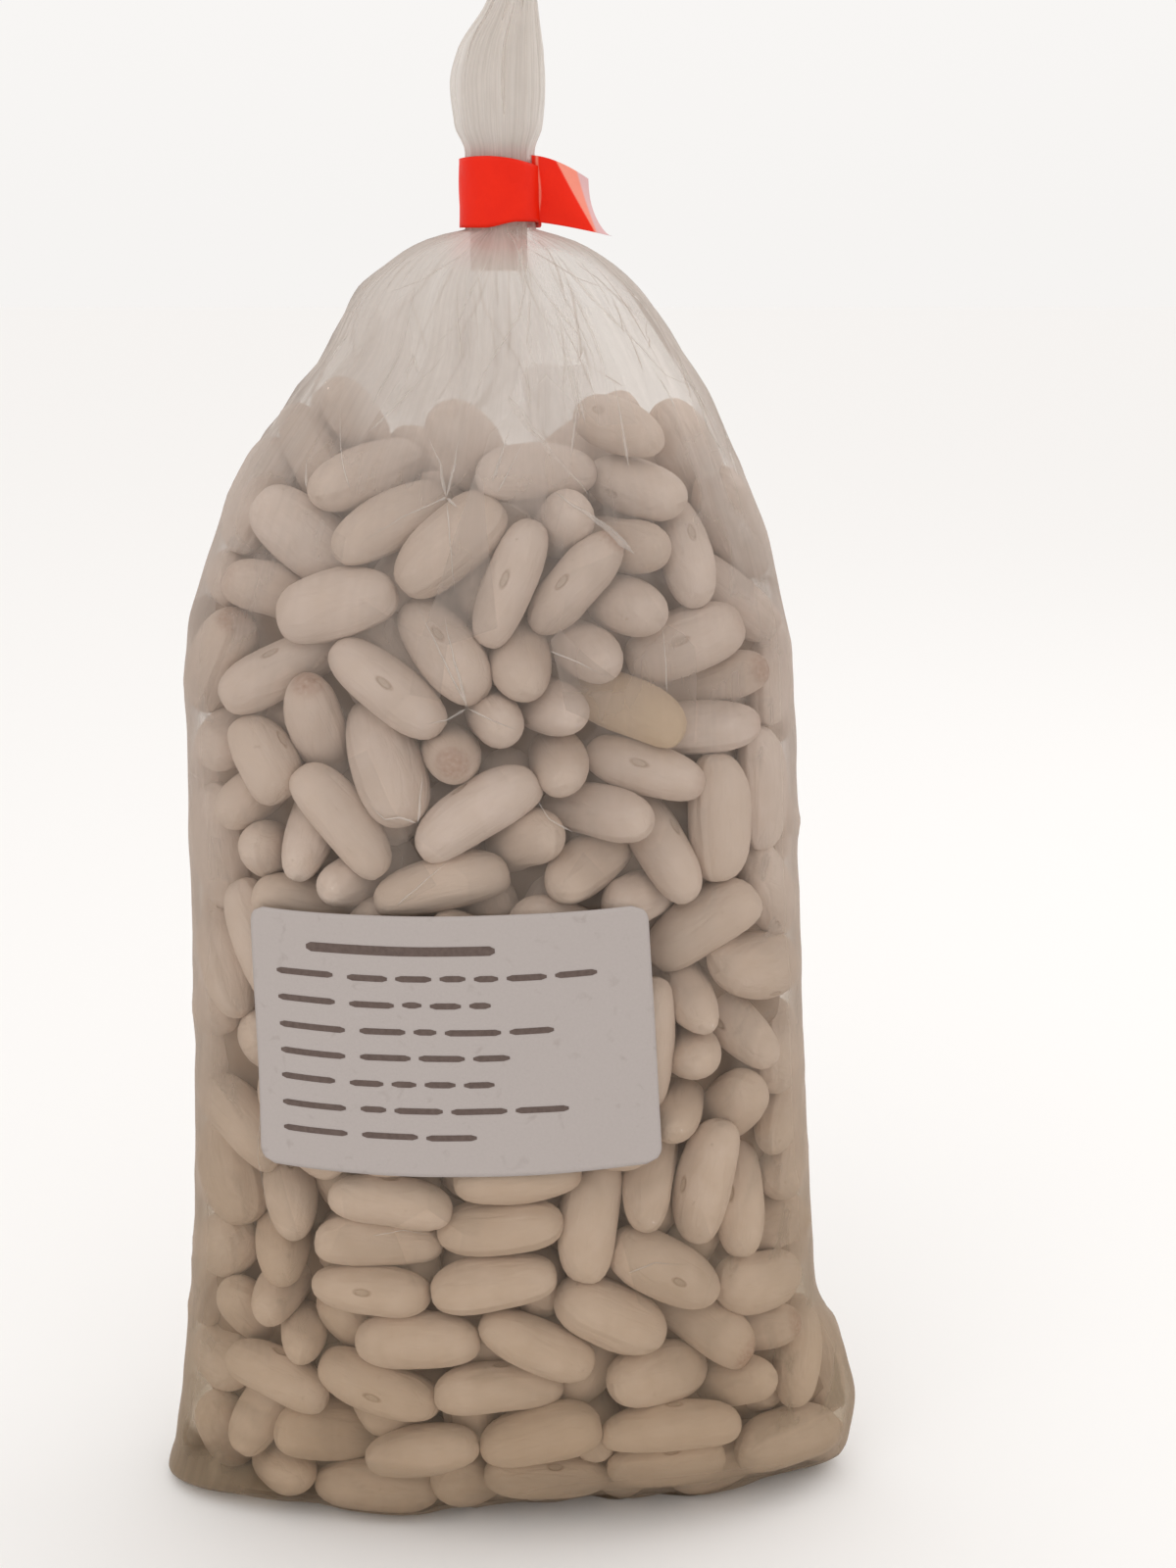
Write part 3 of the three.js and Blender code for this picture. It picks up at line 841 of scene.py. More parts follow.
def roomOverBeans(wall, normals):
    # how far each point of the film can go in before it meets a bean, or is held by its neighbours
    tree = pieceTree(beanHeap)
    start, reach = film["rayStart"], film["reach"]
    room = np.full(wall.shape[:2], reach, float)
    for row, column in np.argwhere(wall[..., 2] <= heapTop + 14):
        way = normals[row, column]
        hit = tree.ray_cast(Vector(wall[row, column] + start * way), Vector(-way), reach + start)
        if hit[0] is not None:
            room[row, column] = hit[3] - start - film["slack"]
    for axis in (0, 1):
        beside = [np.roll(room, way, axis) for way in (1, -1)]
        if axis == 0:
            beside[0][0] = beside[1][-1] = reach
        room = np.minimum(room, np.minimum(*beside) + 0.25)
    print("film: found the beans under", int((room < reach).sum()), "of", room.size, "points")
    return room


def drawnIn(room, covered):
    # the film is pulled in, rests on what it meets and bridges the gaps between
    inward = np.minimum(room, 0)
    for _ in range(film["settle"]):
        mean = (np.roll(inward, 1, 1) + np.roll(inward, -1, 1)) / 4
        mean[1:-1] += (inward[2:] + inward[:-2]) / 4
        mean[0] += inward[1] / 2
        mean[-1] = 0
        inward = np.minimum((mean + film["pull"] * covered) * (1 - film["stiffness"]), room)
    return inward


def bagHaze(angles, z, free, covered, pleats):
    # little where the film lies on beans, more where it stands off them and at the bag's sides
    margin = smoothStep(0.6, 0.97, np.abs(np.sin(angles)))[None]
    standsOff = smoothStep(0.8, 5, free)
    milk = milkiness
    onBeans = milk["onBeans"] + milk["higherUp"] * smoothStep(105, heapTop, z)
    onBeans = onBeans + milk["lowDown"] * (1 - smoothStep(15, 75, z)) + milk["standingOff"] * standsOff
    onBeans += (milk["margin"] + milk["marginOff"] * standsOff) * margin
    onBeans += milk["marginGap"] * smoothStep(7, 11, free) * margin
    rightwards = smoothStep(-0.2, 0.8, np.sin(angles))[None]
    cone = milk["leftOfCone"] + (milk["rightOfCone"] - milk["leftOfCone"]) * rightwards
    cone = cone + milk["pleats"] * np.clip(pleats, 0, 1)
    return onBeans * covered + cone * (1 - covered) + milk["bottom"] * (1 - smoothStep(3, 9, z))


# how much painted shade the film gets low down: all of it at the bottom, none from 150 mm up
def paintedShadeLowDown(z):
    return 1 - smoothStep(10, 150, z)


def filmColours(grid, haze):
    # haze, a painted shade low down that turns the film darker and warmer, a painted reflection of the red
    # tape in pink beside it, and white from the heap's top up, at each point
    x, y, z = np.moveaxis(grid, -1, 0)
    # pink on the film just below the tape at the front: a painted reflection of the red tape
    tapeReflectionPink = milkiness["paintedTapeReflection"] * smoothStep(neckBase - 7, neckBase - 1, z) * (y < 0)
    tapeReflectionPink *= (1 - smoothStep(tailBase - 1, tailBase + 2, z)) * (1 - smoothStep(5, 9, np.abs(x)))
    white = milkiness["whiteCone"] * smoothStep(heapTop - 36, neckBase, z)
    white += milkiness["whiteTail"] * smoothStep(tailBase - 4, tailBase + 6, z)
    return np.stack([haze, paintedShadeLowDown(z), tapeReflectionPink, white], -1)


def filmPiece():
    # rows up the bag, through the tape and up the tail
    angles = evenAngles(film["columns"])
    rise = np.linspace(0, neckBase, int(neckBase / film["rowStep"]) + 1)
    neck = np.linspace(neckBase, tailBase, film["neckRows"])[1:-1]
    tail = np.linspace(tailBase, top, int((top - tailBase) / film["tailRowStep"]) + 1)
    heights = np.concatenate([rise, neck, tail])
    z = heights[:, None]
    surface = outlinePoint(z, angles[None])
    low = len(rise)
    surface[low:low + len(neck), :, :2] = surface[low - 1, :, :2][None]
    normals = gridNormals(surface)
    normals[..., 2] *= smoothStep(1, 12, z)    # low down it gives way outwards, not downwards
    normals = unit(normals)

    # on the bag: drawn in on to the beans, with creases, facets and pleats where nothing holds it
    wall, lowZ = surface[:low], z[:low]
    room = roomOverBeans(wall, normals)
    covered = 1 - smoothStep(heapTop - 8, heapTop + 6, lowZ)
    inward = drawnIn(room, covered)
    free = np.clip(room - inward, 0, film["reach"])
    pleats = pleatRelief(angles, rise)
    lift = -inward + film["crumple"] * smoothStep(0.05, 0.9, free) * crumpleRelief(wall) + 0.8 * pleats
    lift -= 0.5 * film["pleatDepth"] * (1 - covered) * (1 - smoothStep(neckBase - 16, neckBase - 3, lowZ))
    lift += np.maximum.reduce([0.4 * foldRise * width * np.maximum(1 - away / (1.6 + width), 0)
                               for width, away in foldDistances(wall)])
    under = labelZone(wall, 3)
    lift = lift * (1 - under) + np.minimum(lift, film["underLabel"]) * under
    lift = np.maximum(lift, -room)
    lift = np.concatenate([lift, np.zeros((len(heights) - low, len(angles)))]) - tailRelief(angles, z)
    points = surface + normals * lift[..., None]
    points[..., 2] = np.clip(points[..., 2], 0.05, top)

    # the underside is gathered flat towards the middle
    edge = points[0]
    middle = edge.mean(0)
    shares = np.linspace(0.04, 1, film["undersideRows"] + 1)[:-1, None]
    below = middle + (edge - middle) * shares[..., None]
    below[..., 2] = 0.05 + 0.25 * (1 - shares) * (1 + np.sin(3 * angles[None] + 9 * shares))
    grid = np.concatenate([below, points])
    faces = gridFaces(len(grid), film["columns"]).tolist() + [list(range(film["columns"]))[::-1]]
    piece = meshPiece("filmBag", grid.reshape(-1, 3), faces)

    bottom = len(below)
    haze = np.full(grid.shape[:2], float(milkiness["tail"]))
    haze[:bottom] = milkiness["underside"]
    haze[bottom:bottom + low] = bagHaze(angles, lowZ, free, covered, pleats)
    paintPoints(piece, "filmLook", filmColours(grid, haze))
    # near the folds, flat facets of the film get a painted reflection
    nearest = np.minimum.reduce([away for _, away in foldDistances(wall)])
    facets = np.zeros(grid.shape[:2])
    facets[bottom:bottom + low] = 1 - smoothStep(5, 11, nearest)
    layFlat(piece, angles, grid[..., 2], facets, np.concatenate([np.zeros_like(below) - (0, 0, 1), normals]))
    return piece


filmSheet = filmPiece()
print("film made:", len(filmSheet.data.polygons), "faces")


# sharp folds: narrow crinkled strips of film that stand up from the sheet

stripPlaces = np.array([-1, -0.4, 0.05, 0.45, 1])      # across a fold, as shares of its half width
stripHeights = np.array([0, 0.55, 1, 0.45, 0])
stripSink = np.array([0.05, 0, 0, 0, 0.05])            # its edges go into the sheet


def foldStrip(path, normals, width, rng):
    # the strip's points: it rises quickly at its start and dies away towards its end
    side = np.cross(unit(np.gradient(path, axis=0)), normals)
    share = np.linspace(0, 1, len(path))[:, None]
    swell = np.minimum(share / 0.16, 1) * (1 - share) ** 0.8
    crinkle = rng.uniform(0.7, 1.2, (len(path), len(stripPlaces)))
    across = width * swell * stripPlaces * (0.6 + 0.4 * crinkle)
    rise = foldRise * width * swell * stripHeights * crinkle - stripSink
    return path[:, None] + side[:, None] * across[..., None] + normals[:, None] * rise[..., None]


def castOn(tree, starts, ways):
    # where rays meet the film, with its outward directions there; rays that miss are left out
    found, normals = [], []
    for start, way in zip(starts, ways):
        hit = tree.ray_cast(Vector(start), Vector(way), 90)
        if hit[0] is not None:
            normal = np.array(hit[1])
            found.append(np.array(hit[0]))
            normals.append(-normal if normal @ way > 0 else normal)
    return np.array(found), np.array(normals)


def foldRays(rng):
    # rays towards the film along each fold, and the fold's half width
    for side, width, path in drawnFolds:
        lengths = np.concatenate([[0], np.cumsum(np.linalg.norm(np.diff(path, axis=0), axis=-1))])
        at = np.linspace(0, lengths[-1], max(int(lengths[-1] / foldStep), 5))
        line = np.stack([np.interp(at, lengths, path[:, axis]) for axis in range(3)], -1)
        line[:, 0] += 0.16 * width * sum(np.sin(at / wave + rng.uniform(0, 6)) for wave in (1.7, 0.7))
        line[:, 1] = side * 80
        yield line, np.tile([0.0, -side, 0.0], (len(line), 1)), width
    for _ in range(smallFolds["count"]):
        low = rng.uniform(smallFolds["lowest"], neckBase - 5)
        length = rng.uniform(*smallFolds["length"])
        at = np.linspace(0, 1, int(length / foldStep) + 4)
        heights = np.minimum(low + length * at, neckBase - 1.5)
        angle = rng.uniform(0, 2 * math.pi) + rng.normal(0, 0.14) * at
        outside = outlinePoint(heights, angle)
        ways = -unit(outside * (1, 3, 0))
        yield outside - 12 * ways, ways, rng.uniform(*smallFolds["width"])


def foldPiece():
    rng = np.random.default_rng(smallFolds["seed"])
    tree = pieceTree(filmSheet)
    points, faces, facing, haze = [], [], [], []
    for starts, ways, width in list(foldRays(rng)):
        path, normals = castOn(tree, starts, ways)
        if len(path) < 4:
            continue
        faces += (gridFaces(len(path), len(stripPlaces), closed=False) + len(facing)).tolist()
        points.extend(foldStrip(path, normals, width, rng).reshape(-1, 3))
        facing.extend(np.repeat(normals, len(stripPlaces), 0))
        clearer = milkiness["fold"] - milkiness["broadFold"]
        haze += [milkiness["fold"] - clearer * min(width, 1)] * (len(points) - len(haze))
    points = np.array(points)
    piece = meshPiece("filmFolds", points, faces, smooth=False)
    blank = np.zeros(len(points))
    # the strips are painted near white: a painted highlight along each fold
    paintPoints(piece, "filmLook",
                np.stack([haze, paintedShadeLowDown(points[:, 2]), blank, blank + milkiness["foldHighlight"]], -1))
    layFlat(piece, blank, points[:, 2], blank, np.array(facing))
    return piece


filmFolds = foldPiece()
print("folds made:", len(filmFolds.data.polygons), "faces")


# the tail holds more folds of film inside the outer one

tailInner = {"layers": 2, "columns": 90, "rowStep": 1, "shrink": 0.3, "folds": (5, 8, 13), "seed": 8}


def tailPiece():
    rng = np.random.default_rng(tailInner["seed"])
    angles = evenAngles(tailInner["columns"])
    low, high = neckBase - 6, top - 2
    heights = np.linspace(low, high, int((high - low) / tailInner["rowStep"]) + 1)[:, None]
    grids = []
    for number in range(1, tailInner["layers"] + 1):
        grid = outlinePoint(np.maximum(heights, tailBase), angles[None])
        grid[..., 2] = heights
        middle = grid.mean(1, keepdims=True)
        waves = sum(
            0.12 * np.sin(k * angles[None] + rng.uniform(0, 6) + np.sin(heights / rng.uniform(6, 14)))
            for k in tailInner["folds"]
        )
        shrink = (1 - tailInner["shrink"] * number) * (1 + waves)[..., None]
        grids.append(middle + (grid - middle) * (shrink * (1, 1, 0) + (0, 0, 1)))
    grids = np.array(grids)
    quads = gridFaces(len(heights), tailInner["columns"])
    perLayer = grids[0, ..., 0].size
    faces = np.concatenate([quads + perLayer * number for number in range(tailInner["layers"])])
    piece = meshPiece("tailFolds", grids.reshape(-1, 3), faces)
    tall = grids[..., 2]
    facing = np.stack([np.sin(angles), -np.cos(angles), 0 * angles], -1) + 0 * tall[..., None]
    layFlat(piece, angles, tall, 0 * tall, facing)
    paintPoints(piece, "filmLook", np.tile([milkiness["tailInside"], 0, 0, 1], (tall.size, 1)))
    return piece


tailSheet = tailPiece()


# the paper label lies over the film and bridges its hollows

def labelAngles():
    # the angle on the bag for each distance across from the label's middle
    middle = section(np.array(label["centre"][1]))
    shift = float((middle[1] - middle[0]) / 2)
    half = float((middle[0] + middle[1]) / 2)
    steps = 200
    across = np.linspace(-50, 50, 2 * steps + 1)
    angle = np.zeros(len(across))
    angle[steps] = math.asin((label["centre"][0] - shift) / half)
    for way in (1, -1):
        for i in range(1, steps + 1):
            before = angle[steps + way * (i - 1)]
            reach = math.hypot(half * math.cos(before), bag["bodyDepth"] / 2 * math.sin(before))
            angle[steps + way * i] = before + way * (across[1] - across[0]) / reach
    return across, angle


labelAcross, labelAngle = labelAngles()


def onLabel(over, rise, out):
    # a point of the label: over and rise from its middle, out from its back, with the waves of a sheet
    # that is never quite even over the beans
    turn = math.radians(label["turn"])
    along = over * math.cos(turn) - rise * math.sin(turn)
    height = label["centre"][1] + over * math.sin(turn) + rise * math.cos(turn)
    angle = np.interp(along, labelAcross, labelAngle)
    left, right, depth, _, _ = section(height)
    outward = np.stack([np.sin(angle) / ((left + right) / 2), -np.cos(angle) / depth, 0 * angle], -1)
    wave = 0.1 * np.sin(over / 7 + 1) * np.sin(rise / 6) + 0.07 * np.sin(over / 3.6 - rise / 5)
    lifted = label["standOff"] + wave + out
    return outlinePoint(height, angle) + unit(outward) * lifted[..., None]


def labelPiece():
    # rows follow the rounded corners, so the sheet's edge is clean
    width, height, corner = label["width"], label["height"], label["corner"]
    columns, rows = label["grid"]
    u, v = np.meshgrid(np.linspace(-1, 1, columns), np.linspace(-1, 1, rows))
    rise = v * height / 2
    near = np.maximum(np.abs(rise) - (height / 2 - corner), 0)
    over = u * (width / 2 - corner + np.sqrt(np.maximum(corner ** 2 - near ** 2, 0)))
    sides = np.stack([onLabel(over, rise, label["thickness"]), onLabel(over, rise, 0)])
    piece = meshPiece("paperLabel", sides.reshape(-1, 3), plateFaces(rows, columns))
    place = np.stack([over, rise, 0 * over], -1)
    paintPoints(piece, "place", np.stack([place, place]))
    return piece


paperLabel = labelPiece()


# plain dashes stand for the print: a heading and rows of short and long dashes

labelPrint = {
    "heading": (-22, 8, 15.6, 1.5),      # left, right, height above the middle, thickness
    "rows": 7, "firstRow": 11.2, "rowStep": 4.3,
    "left": -27.5, "right": 26, "ragged": 20,
    "firstDash": (9, 12), "dash": (3, 9), "firstGap": 2.4, "gap": 1.3,
    "thickness": 1, "proud": 0.04,
    "seed": 3,
}


def dashes():
    # left, right, height above the middle and thickness of each
    rng = np.random.default_rng(labelPrint["seed"])
    bars = [labelPrint["heading"]]
    for row in range(labelPrint["rows"]):
        rise = labelPrint["firstRow"] - row * labelPrint["rowStep"]
        over = labelPrint["left"]
        end = labelPrint["right"] - rng.uniform(0, labelPrint["ragged"])
        lengths, gap = labelPrint["firstDash"], labelPrint["firstGap"]
        while over < end - labelPrint["dash"][0]:
            length = rng.uniform(*lengths)
            level = rise + rng.uniform(-0.1, 0.1)
            bars.append((over, min(over + length, end), level, labelPrint["thickness"]))
            over += length + gap
            lengths, gap = labelPrint["dash"], labelPrint["gap"]
    return bars


def printPiece():
    points, faces = [], []
    for left, right, rise, thickness in dashes():
        across = np.linspace(left, right, max(int((right - left) / 0.8), 2) + 1)
        over, up = np.meshgrid(across, np.array([-0.5, 0.5]) * thickness)
        ends = np.abs(over - (left + right) / 2) > (right - left) / 2 - 0.05
        up = rise + up * np.where(ends, 0.45, 1)
        faces += (gridFaces(2, len(across), closed=False) + len(points)).tolist()
        points.extend(onLabel(over, up, label["thickness"] + labelPrint["proud"]).reshape(-1, 3))
    return meshPiece("labelPrint", points, faces)


labelInk = printPiece()


# the tape: a band round the neck whose ends are pressed together as a flag

tape = {
    "wall": 0.5, "columns": 96, "rows": 17,
    "gap": 0.35,               # between the neck's film and the band
    "wrinkle": 0.072,
    "crown": -1.8,             # across, where the band's front stands highest
    "crownFall": (0.025, 0.03),    # how fast its edge falls away to the left and to the right
    "lowRise": 0.9,            # how much the lower edge rises at the right
    "flagThickness": 0.5, "flagColumns": 64, "flagRows": 40,
    "flagRoot": 4.7,           # across, where the flag leaves the band
    "flagReach": 17.2, "flagTop": 13.4,      # across, its tip at the bottom and at the top
    "flagDrop": 2.2, "flagFall": 3.4,        # how far its lower and upper edges fall towards the tip
    "paleEdge": (14.3, 8.4),   # across, where the print thins out, at the bottom and at the top
    "bareEdge": (14.6, 11.5),  # across, where only clear backing is left
    "crease": 5.85,            # across, a pale line down the flag's root, a painted highlight on the fold
}
tapeLow = neckBase + clearance
tapeHigh = tapeLow + bag["tapeWidth"]


def bandPart():
    # the band's two faces, whose edges follow the tape as it was wound, and the rims between them
    columns, rows = tape["columns"], tape["rows"]
    a, s = np.meshgrid(np.linspace(0, 2 * math.pi, columns, endpoint=False), np.linspace(0, 1, rows))
    front = smoothStep(-0.3, 0.3, np.cos(a))
    across = neckHalf * np.sin(a)
    low = tapeLow + 0.1 + tape["lowRise"] * front * smoothStep(-2, 2.5, across)
    leftFall, rightFall = tape["crownFall"]
    fall = np.where(across > tape["crown"], rightFall, leftFall) * (across - tape["crown"]) ** 2
    high = tapeHigh - 0.3 - front * fall - 0.3 * (1 - front)
    z = low + (high - low) * s
    wrinkle = tape["wrinkle"] * (np.abs(np.sin(z * 0.5 + 3 * np.sin(a))) + np.abs(np.sin(3 * a + z / 3)))
    rings = []
    for out in (tape["wall"], 0):
        grown = tape["gap"] + out + wrinkle
        wide, deep = neckHalf + grown, bag["neckDepth"] / 2 + grown
        rings.append(np.stack([wide * np.sin(a), -deep * np.cos(a), z], -1))
    count = rows * columns
    outer = gridFaces(rows, columns)
    j = np.arange(columns)
    n = (j + 1) % columns
    up = count - columns
    rims = [np.stack([j, j + count, n + count, n], -1), np.stack([n, n + count, j + count, j], -1) + up]
    return np.array(rings).reshape(-1, 3), np.concatenate([outer, outer[:, ::-1] + count, *rims])


def flagPart():
    # both faces of a thin bowed plate from the band's right side out to a slanting end, how pale and how
    # bare it is where the tape's print stops short of that end, and a pale line down the crease that is a
    # painted highlight
    columns, rows = tape["flagColumns"], tape["flagRows"]
    u, v = np.meshgrid(np.linspace(0, 1, columns), np.linspace(0, 1, rows))
    end = tape["flagReach"] - (tape["flagReach"] - tape["flagTop"]) * np.sqrt(v) - 0.5 * np.sin(math.pi * v)
    x = tape["flagRoot"] + (end - tape["flagRoot"]) * u
    low = tapeLow + 1 - tape["flagDrop"] * u ** 1.3
    high = tapeHigh - 0.1 - tape["flagFall"] * u ** 1.7
    z = low + (high - low) * v
    bow = -1.2 - 0.9 * np.sin(math.pi * u) + 1.6 * u ** 2 + 0.25 * np.sin(v * 5 + u * 4)
    half = tape["flagThickness"] / 2
    points = np.array([np.stack([x, bow + out, z], -1) for out in (-half, half)]).reshape(-1, 3)
    # the pale line down the crease is a painted highlight on the fold
    crease = tape["crease"] + 0.22 * np.cos(math.pi * (2 * v - 0.9))
    creaseHighlight = 0.75 * (1 - smoothStep(0.08, 0.3, np.abs(x - crease)))
    paleLow, paleHigh = tape["paleEdge"]
    bareLow, bareHigh = tape["bareEdge"]
    # pale where the print thins out towards the end, and at the crease, where it is a painted highlight
    pale = np.maximum(smoothStep(0, 0.25, x - paleLow + (paleLow - paleHigh) * v ** 1.15), creaseHighlight)
    bare = smoothStep(0, 0.3, x - bareLow + (bareLow - bareHigh) * v)
    look = np.stack([pale, bare, 0 * pale, 1 + 0 * pale], -1).reshape(-1, 4)
    return points, plateFaces(rows, columns), np.concatenate([look, look])


def tapePiece():
    bandPoints, bandFaces = bandPart()
    flagPoints, flagFaces, flagLook = flagPart()
    piece = meshPiece("neckTape", np.concatenate([bandPoints, flagPoints]),
                      np.concatenate([bandFaces, flagFaces + len(bandPoints)]))
    plain = np.tile([0, 0, 0, 1], (len(bandPoints), 1))
    paintPoints(piece, "tapeLook", np.concatenate([plain, flagLook]))
    return piece


neckTape = tapePiece()
print("label, tape and tail made")


# materials

def node(tree, kind, inputs=None, **settings):
    # one shader node: settings are its own options, and an input takes a value, an output or another node
    made = tree.nodes.new("ShaderNode" + kind)
    for key, value in settings.items():
        setattr(made, key, value)
    for key, value in (inputs or {}).items():
        socket = made.inputs[key] if isinstance(key, int) else next(
            s for s in made.inputs if s.enabled and s.name == key)
        if isinstance(value, bpy.types.Node):
            value = next(output for output in value.outputs if output.enabled)
        if isinstance(value, bpy.types.NodeSocket):
            tree.links.new(value, socket)
        else:
            socket.default_value = value
    return made


def newMaterial(name, finish):
    # an empty material, the function that adds nodes to it, and its colours ready for a shader
    made = bpy.data.materials.new(name)
    made.use_nodes = True
    made.node_tree.nodes.clear()
    look = {key: hexColour(value) for key, value in finish.items() if isinstance(value, str)}
    return made, partial(node, made.node_tree), look


seedCoatFinish = {
    "pale": "#e6dad4", "plain": "#d4c5ba", "warm": "#ccbaaa",
    "mark": "#a07c68", "eyeRim": "#a58d79", "eyeMiddle": "#c9bbae", "yellow": "#d6bf9e", "speck": "#a08a78",
    "roughness": 0.6, "ior": 1.45,
    "mottle": 4.167, "fineGrain": 0.625, "speckle": 1.818,    # mm, the sizes of what the skin shows
    "wrinkleLength": 8.333, "wrinkleWidth": 2, "bumpHeight": 0.6,
    "eyeLength": 2.7, "eyeWidth": 1.1,     # the scar where the bean hung in its pod
    "seamOuter": 0.9, "seamInner": 0.1, "seamHeight": 0.5, "eyeDip": -0.5,
}


def driedSeedCoat():
    # the dry skin of a white bean: off-white, faintly mottled and wrinkled, with a soft waxy sheen
    finish = seedCoatFinish
    made, add, look = newMaterial("driedSeedCoat", finish)
    paint = add("Attribute", attribute_name="seedCoat")
    parts = add("SeparateColor", {"Color": paint}).outputs
    grain = add("Attribute", attribute_name="grain").outputs["Vector"]
    place = add("Attribute", attribute_name="beanPlace").outputs["Vector"]
    x, y, z = add("SeparateXYZ", {0: place}).outputs
    mottle, fine, speckled = (
        add("TexNoise", {"Vector": grain, "Scale": 1 / finish[size], "Detail": detail, "Roughness": rough})
        for size, detail, rough in (("mottle", 3, 0.6), ("fineGrain", 4, 0.65), ("speckle", 4, 0.7)))
    specks = add("MapRange", {"Value": speckled, "From Min": 0.66, "From Max": 0.74})

    # the eye is a pale oval with a brown rim in the bean's hollow side
    endwise = add("Math", {0: x, 1: finish["eyeLength"] / 2}, operation="DIVIDE")
    crosswise = add("Math", {0: z, 1: finish["eyeWidth"] / 2}, operation="DIVIDE")
    endwise = add("Math", {0: endwise, 1: endwise}, operation="MULTIPLY")
    away = add("Math", {0: crosswise, 1: crosswise, 2: endwise}, operation="MULTIPLY_ADD")
    onHollow = add("Math", {0: y, 1: 1}, operation="GREATER_THAN")
    shown = add("Math", {0: onHollow, 1: parts["Blue"]}, operation="MULTIPLY")
    rim = add("MapRange", {"Value": away, "From Min": 1.9, "From Max": 1})
    inner = add("MapRange", {"Value": away, "From Min": 0.9, "From Max": 0.5})
    rim = add("Math", {0: rim, 1: shown}, operation="MULTIPLY")
    inner = add("Math", {0: inner, 1: shown}, operation="MULTIPLY")

    # from the plain skin outwards: mottling, a yellow cast, the eye, stained ends and a few specks
    marked = add("Math", {0: parts["Green"], 1: fine}, operation="MULTIPLY")
    colour = add("Mix", {"Factor": parts["Red"], "A": look["plain"], "B": look["pale"]}, data_type="RGBA")
    for kind, share, strength in (
        ("warm", mottle, 0.8), ("yellow", paint.outputs["Alpha"], 0.8), ("eyeRim", rim, fine),
        ("eyeMiddle", inner, 0.6), ("mark", marked, 1.1), ("speck", specks, 0.45),
    ):
        share = add("Math", {0: share, 1: strength}, operation="MULTIPLY", use_clamp=True)
        colour = add("Mix", {"Factor": share, "A": colour, "B": look[kind]}, data_type="RGBA")

    # wrinkles that run along the bean, a faint seam down its round side and a dip at the eye
    lengthwise = add("Mapping", {"Vector": grain, "Scale": (
        1 / finish["wrinkleLength"], 1 / finish["wrinkleWidth"], 1 / finish["wrinkleWidth"])})
    wrinkles = add("TexNoise", {"Vector": lengthwise, "Scale": 1, "Detail": 3, "Distortion": 0.7})
    besideSeam = add("Math", {0: z}, operation="ABSOLUTE")
    seam = add("MapRange", {"Value": besideSeam, "From Min": finish["seamOuter"],
                            "From Max": finish["seamInner"], "To Max": finish["seamHeight"]})
    onRound = add("Math", {0: y, 1: 0}, operation="LESS_THAN")
    height = add("Math", {0: seam, 1: onRound, 2: wrinkles}, operation="MULTIPLY_ADD")
    height = add("Math", {0: inner, 1: finish["eyeDip"], 2: height}, operation="MULTIPLY_ADD")
    bump = add("Bump", {"Height": height, "Strength": 0.6, "Distance": finish["bumpHeight"] * metre})
    shader = add("BsdfPrincipled", {"Base Color": colour, "Roughness": finish["roughness"],
                                    "IOR": finish["ior"], "Normal": bump})
    add("OutputMaterial", {"Surface": shader})
    return made


# two dull finishes of uneven colour, in patches of this size in mm
dullFinishes = {
    # the same beans deep in the heap, where next to no light reaches: dull brown
    "shadedSeedCoat": {"dark": "#907d6e", "light": "#b09e8f", "patch": 9.091, "detail": 2,
                       "roughness": 0.7, "ior": 1.45},
    # dark toner on paper: soft brown-black
    "printInk": {"dark": "#4a3a34", "light": "#6a5a53", "patch": 0.7143, "detail": 3,
                 "roughness": 0.7, "ior": 1.5},
}


def dullFinish(name):
    finish = dullFinishes[name]
    made, add, look = newMaterial(name, finish)
    patches = add("TexNoise", {"Vector": add("TexCoord").outputs["Object"],
                               "Scale": 1 / (finish["patch"] * metre), "Detail": finish["detail"]})
    colour = add("Mix", {"Factor": patches, "A": look["dark"], "B": look["light"]}, data_type="RGBA")
    add("OutputMaterial", {"Surface": add("BsdfPrincipled", {
        "Base Color": colour, "Roughness": finish["roughness"], "IOR": finish["ior"]})})
    return made


filmFinish = {
    # towards the bottom the haze and the clear film turn darker and warmer: painted shade
    "haze": "#b7aaa0", "shadedHazeLowDown": "#9b8972", "white": "#eeeae6", "tapeReflectionPink": "#e2aaa6",
    "clear": "#fbf9f7", "shadedClearLowDown": "#f3ece1", "gleam": "#d9cdc5",
    "roughness": 0.13,
    "translucent": 0.4,     # share of the milkiness that lets light through
    "faceOnGloss": 0.03,    # share reflected when looked at straight on, both faces of the film together
    "rimGloss": 0.45,
    "streakWidth": 1.818, "streakLength": 28.57, "cloud": 16.667, "crinkle": 3.846,    # mm
    # flat facets near the folds get lighter patches: a painted reflection of the bright sky
    "facetWidth": 11.11, "facetHeight": 18.18, "facetReflection": 0.26,
    "edgeMilk": 0.76, "edgeStart": 0.24, "edgeEnd": 0.72,    # milkier where the bag's outline turns away
    "bumpHeight": 0.4,
}


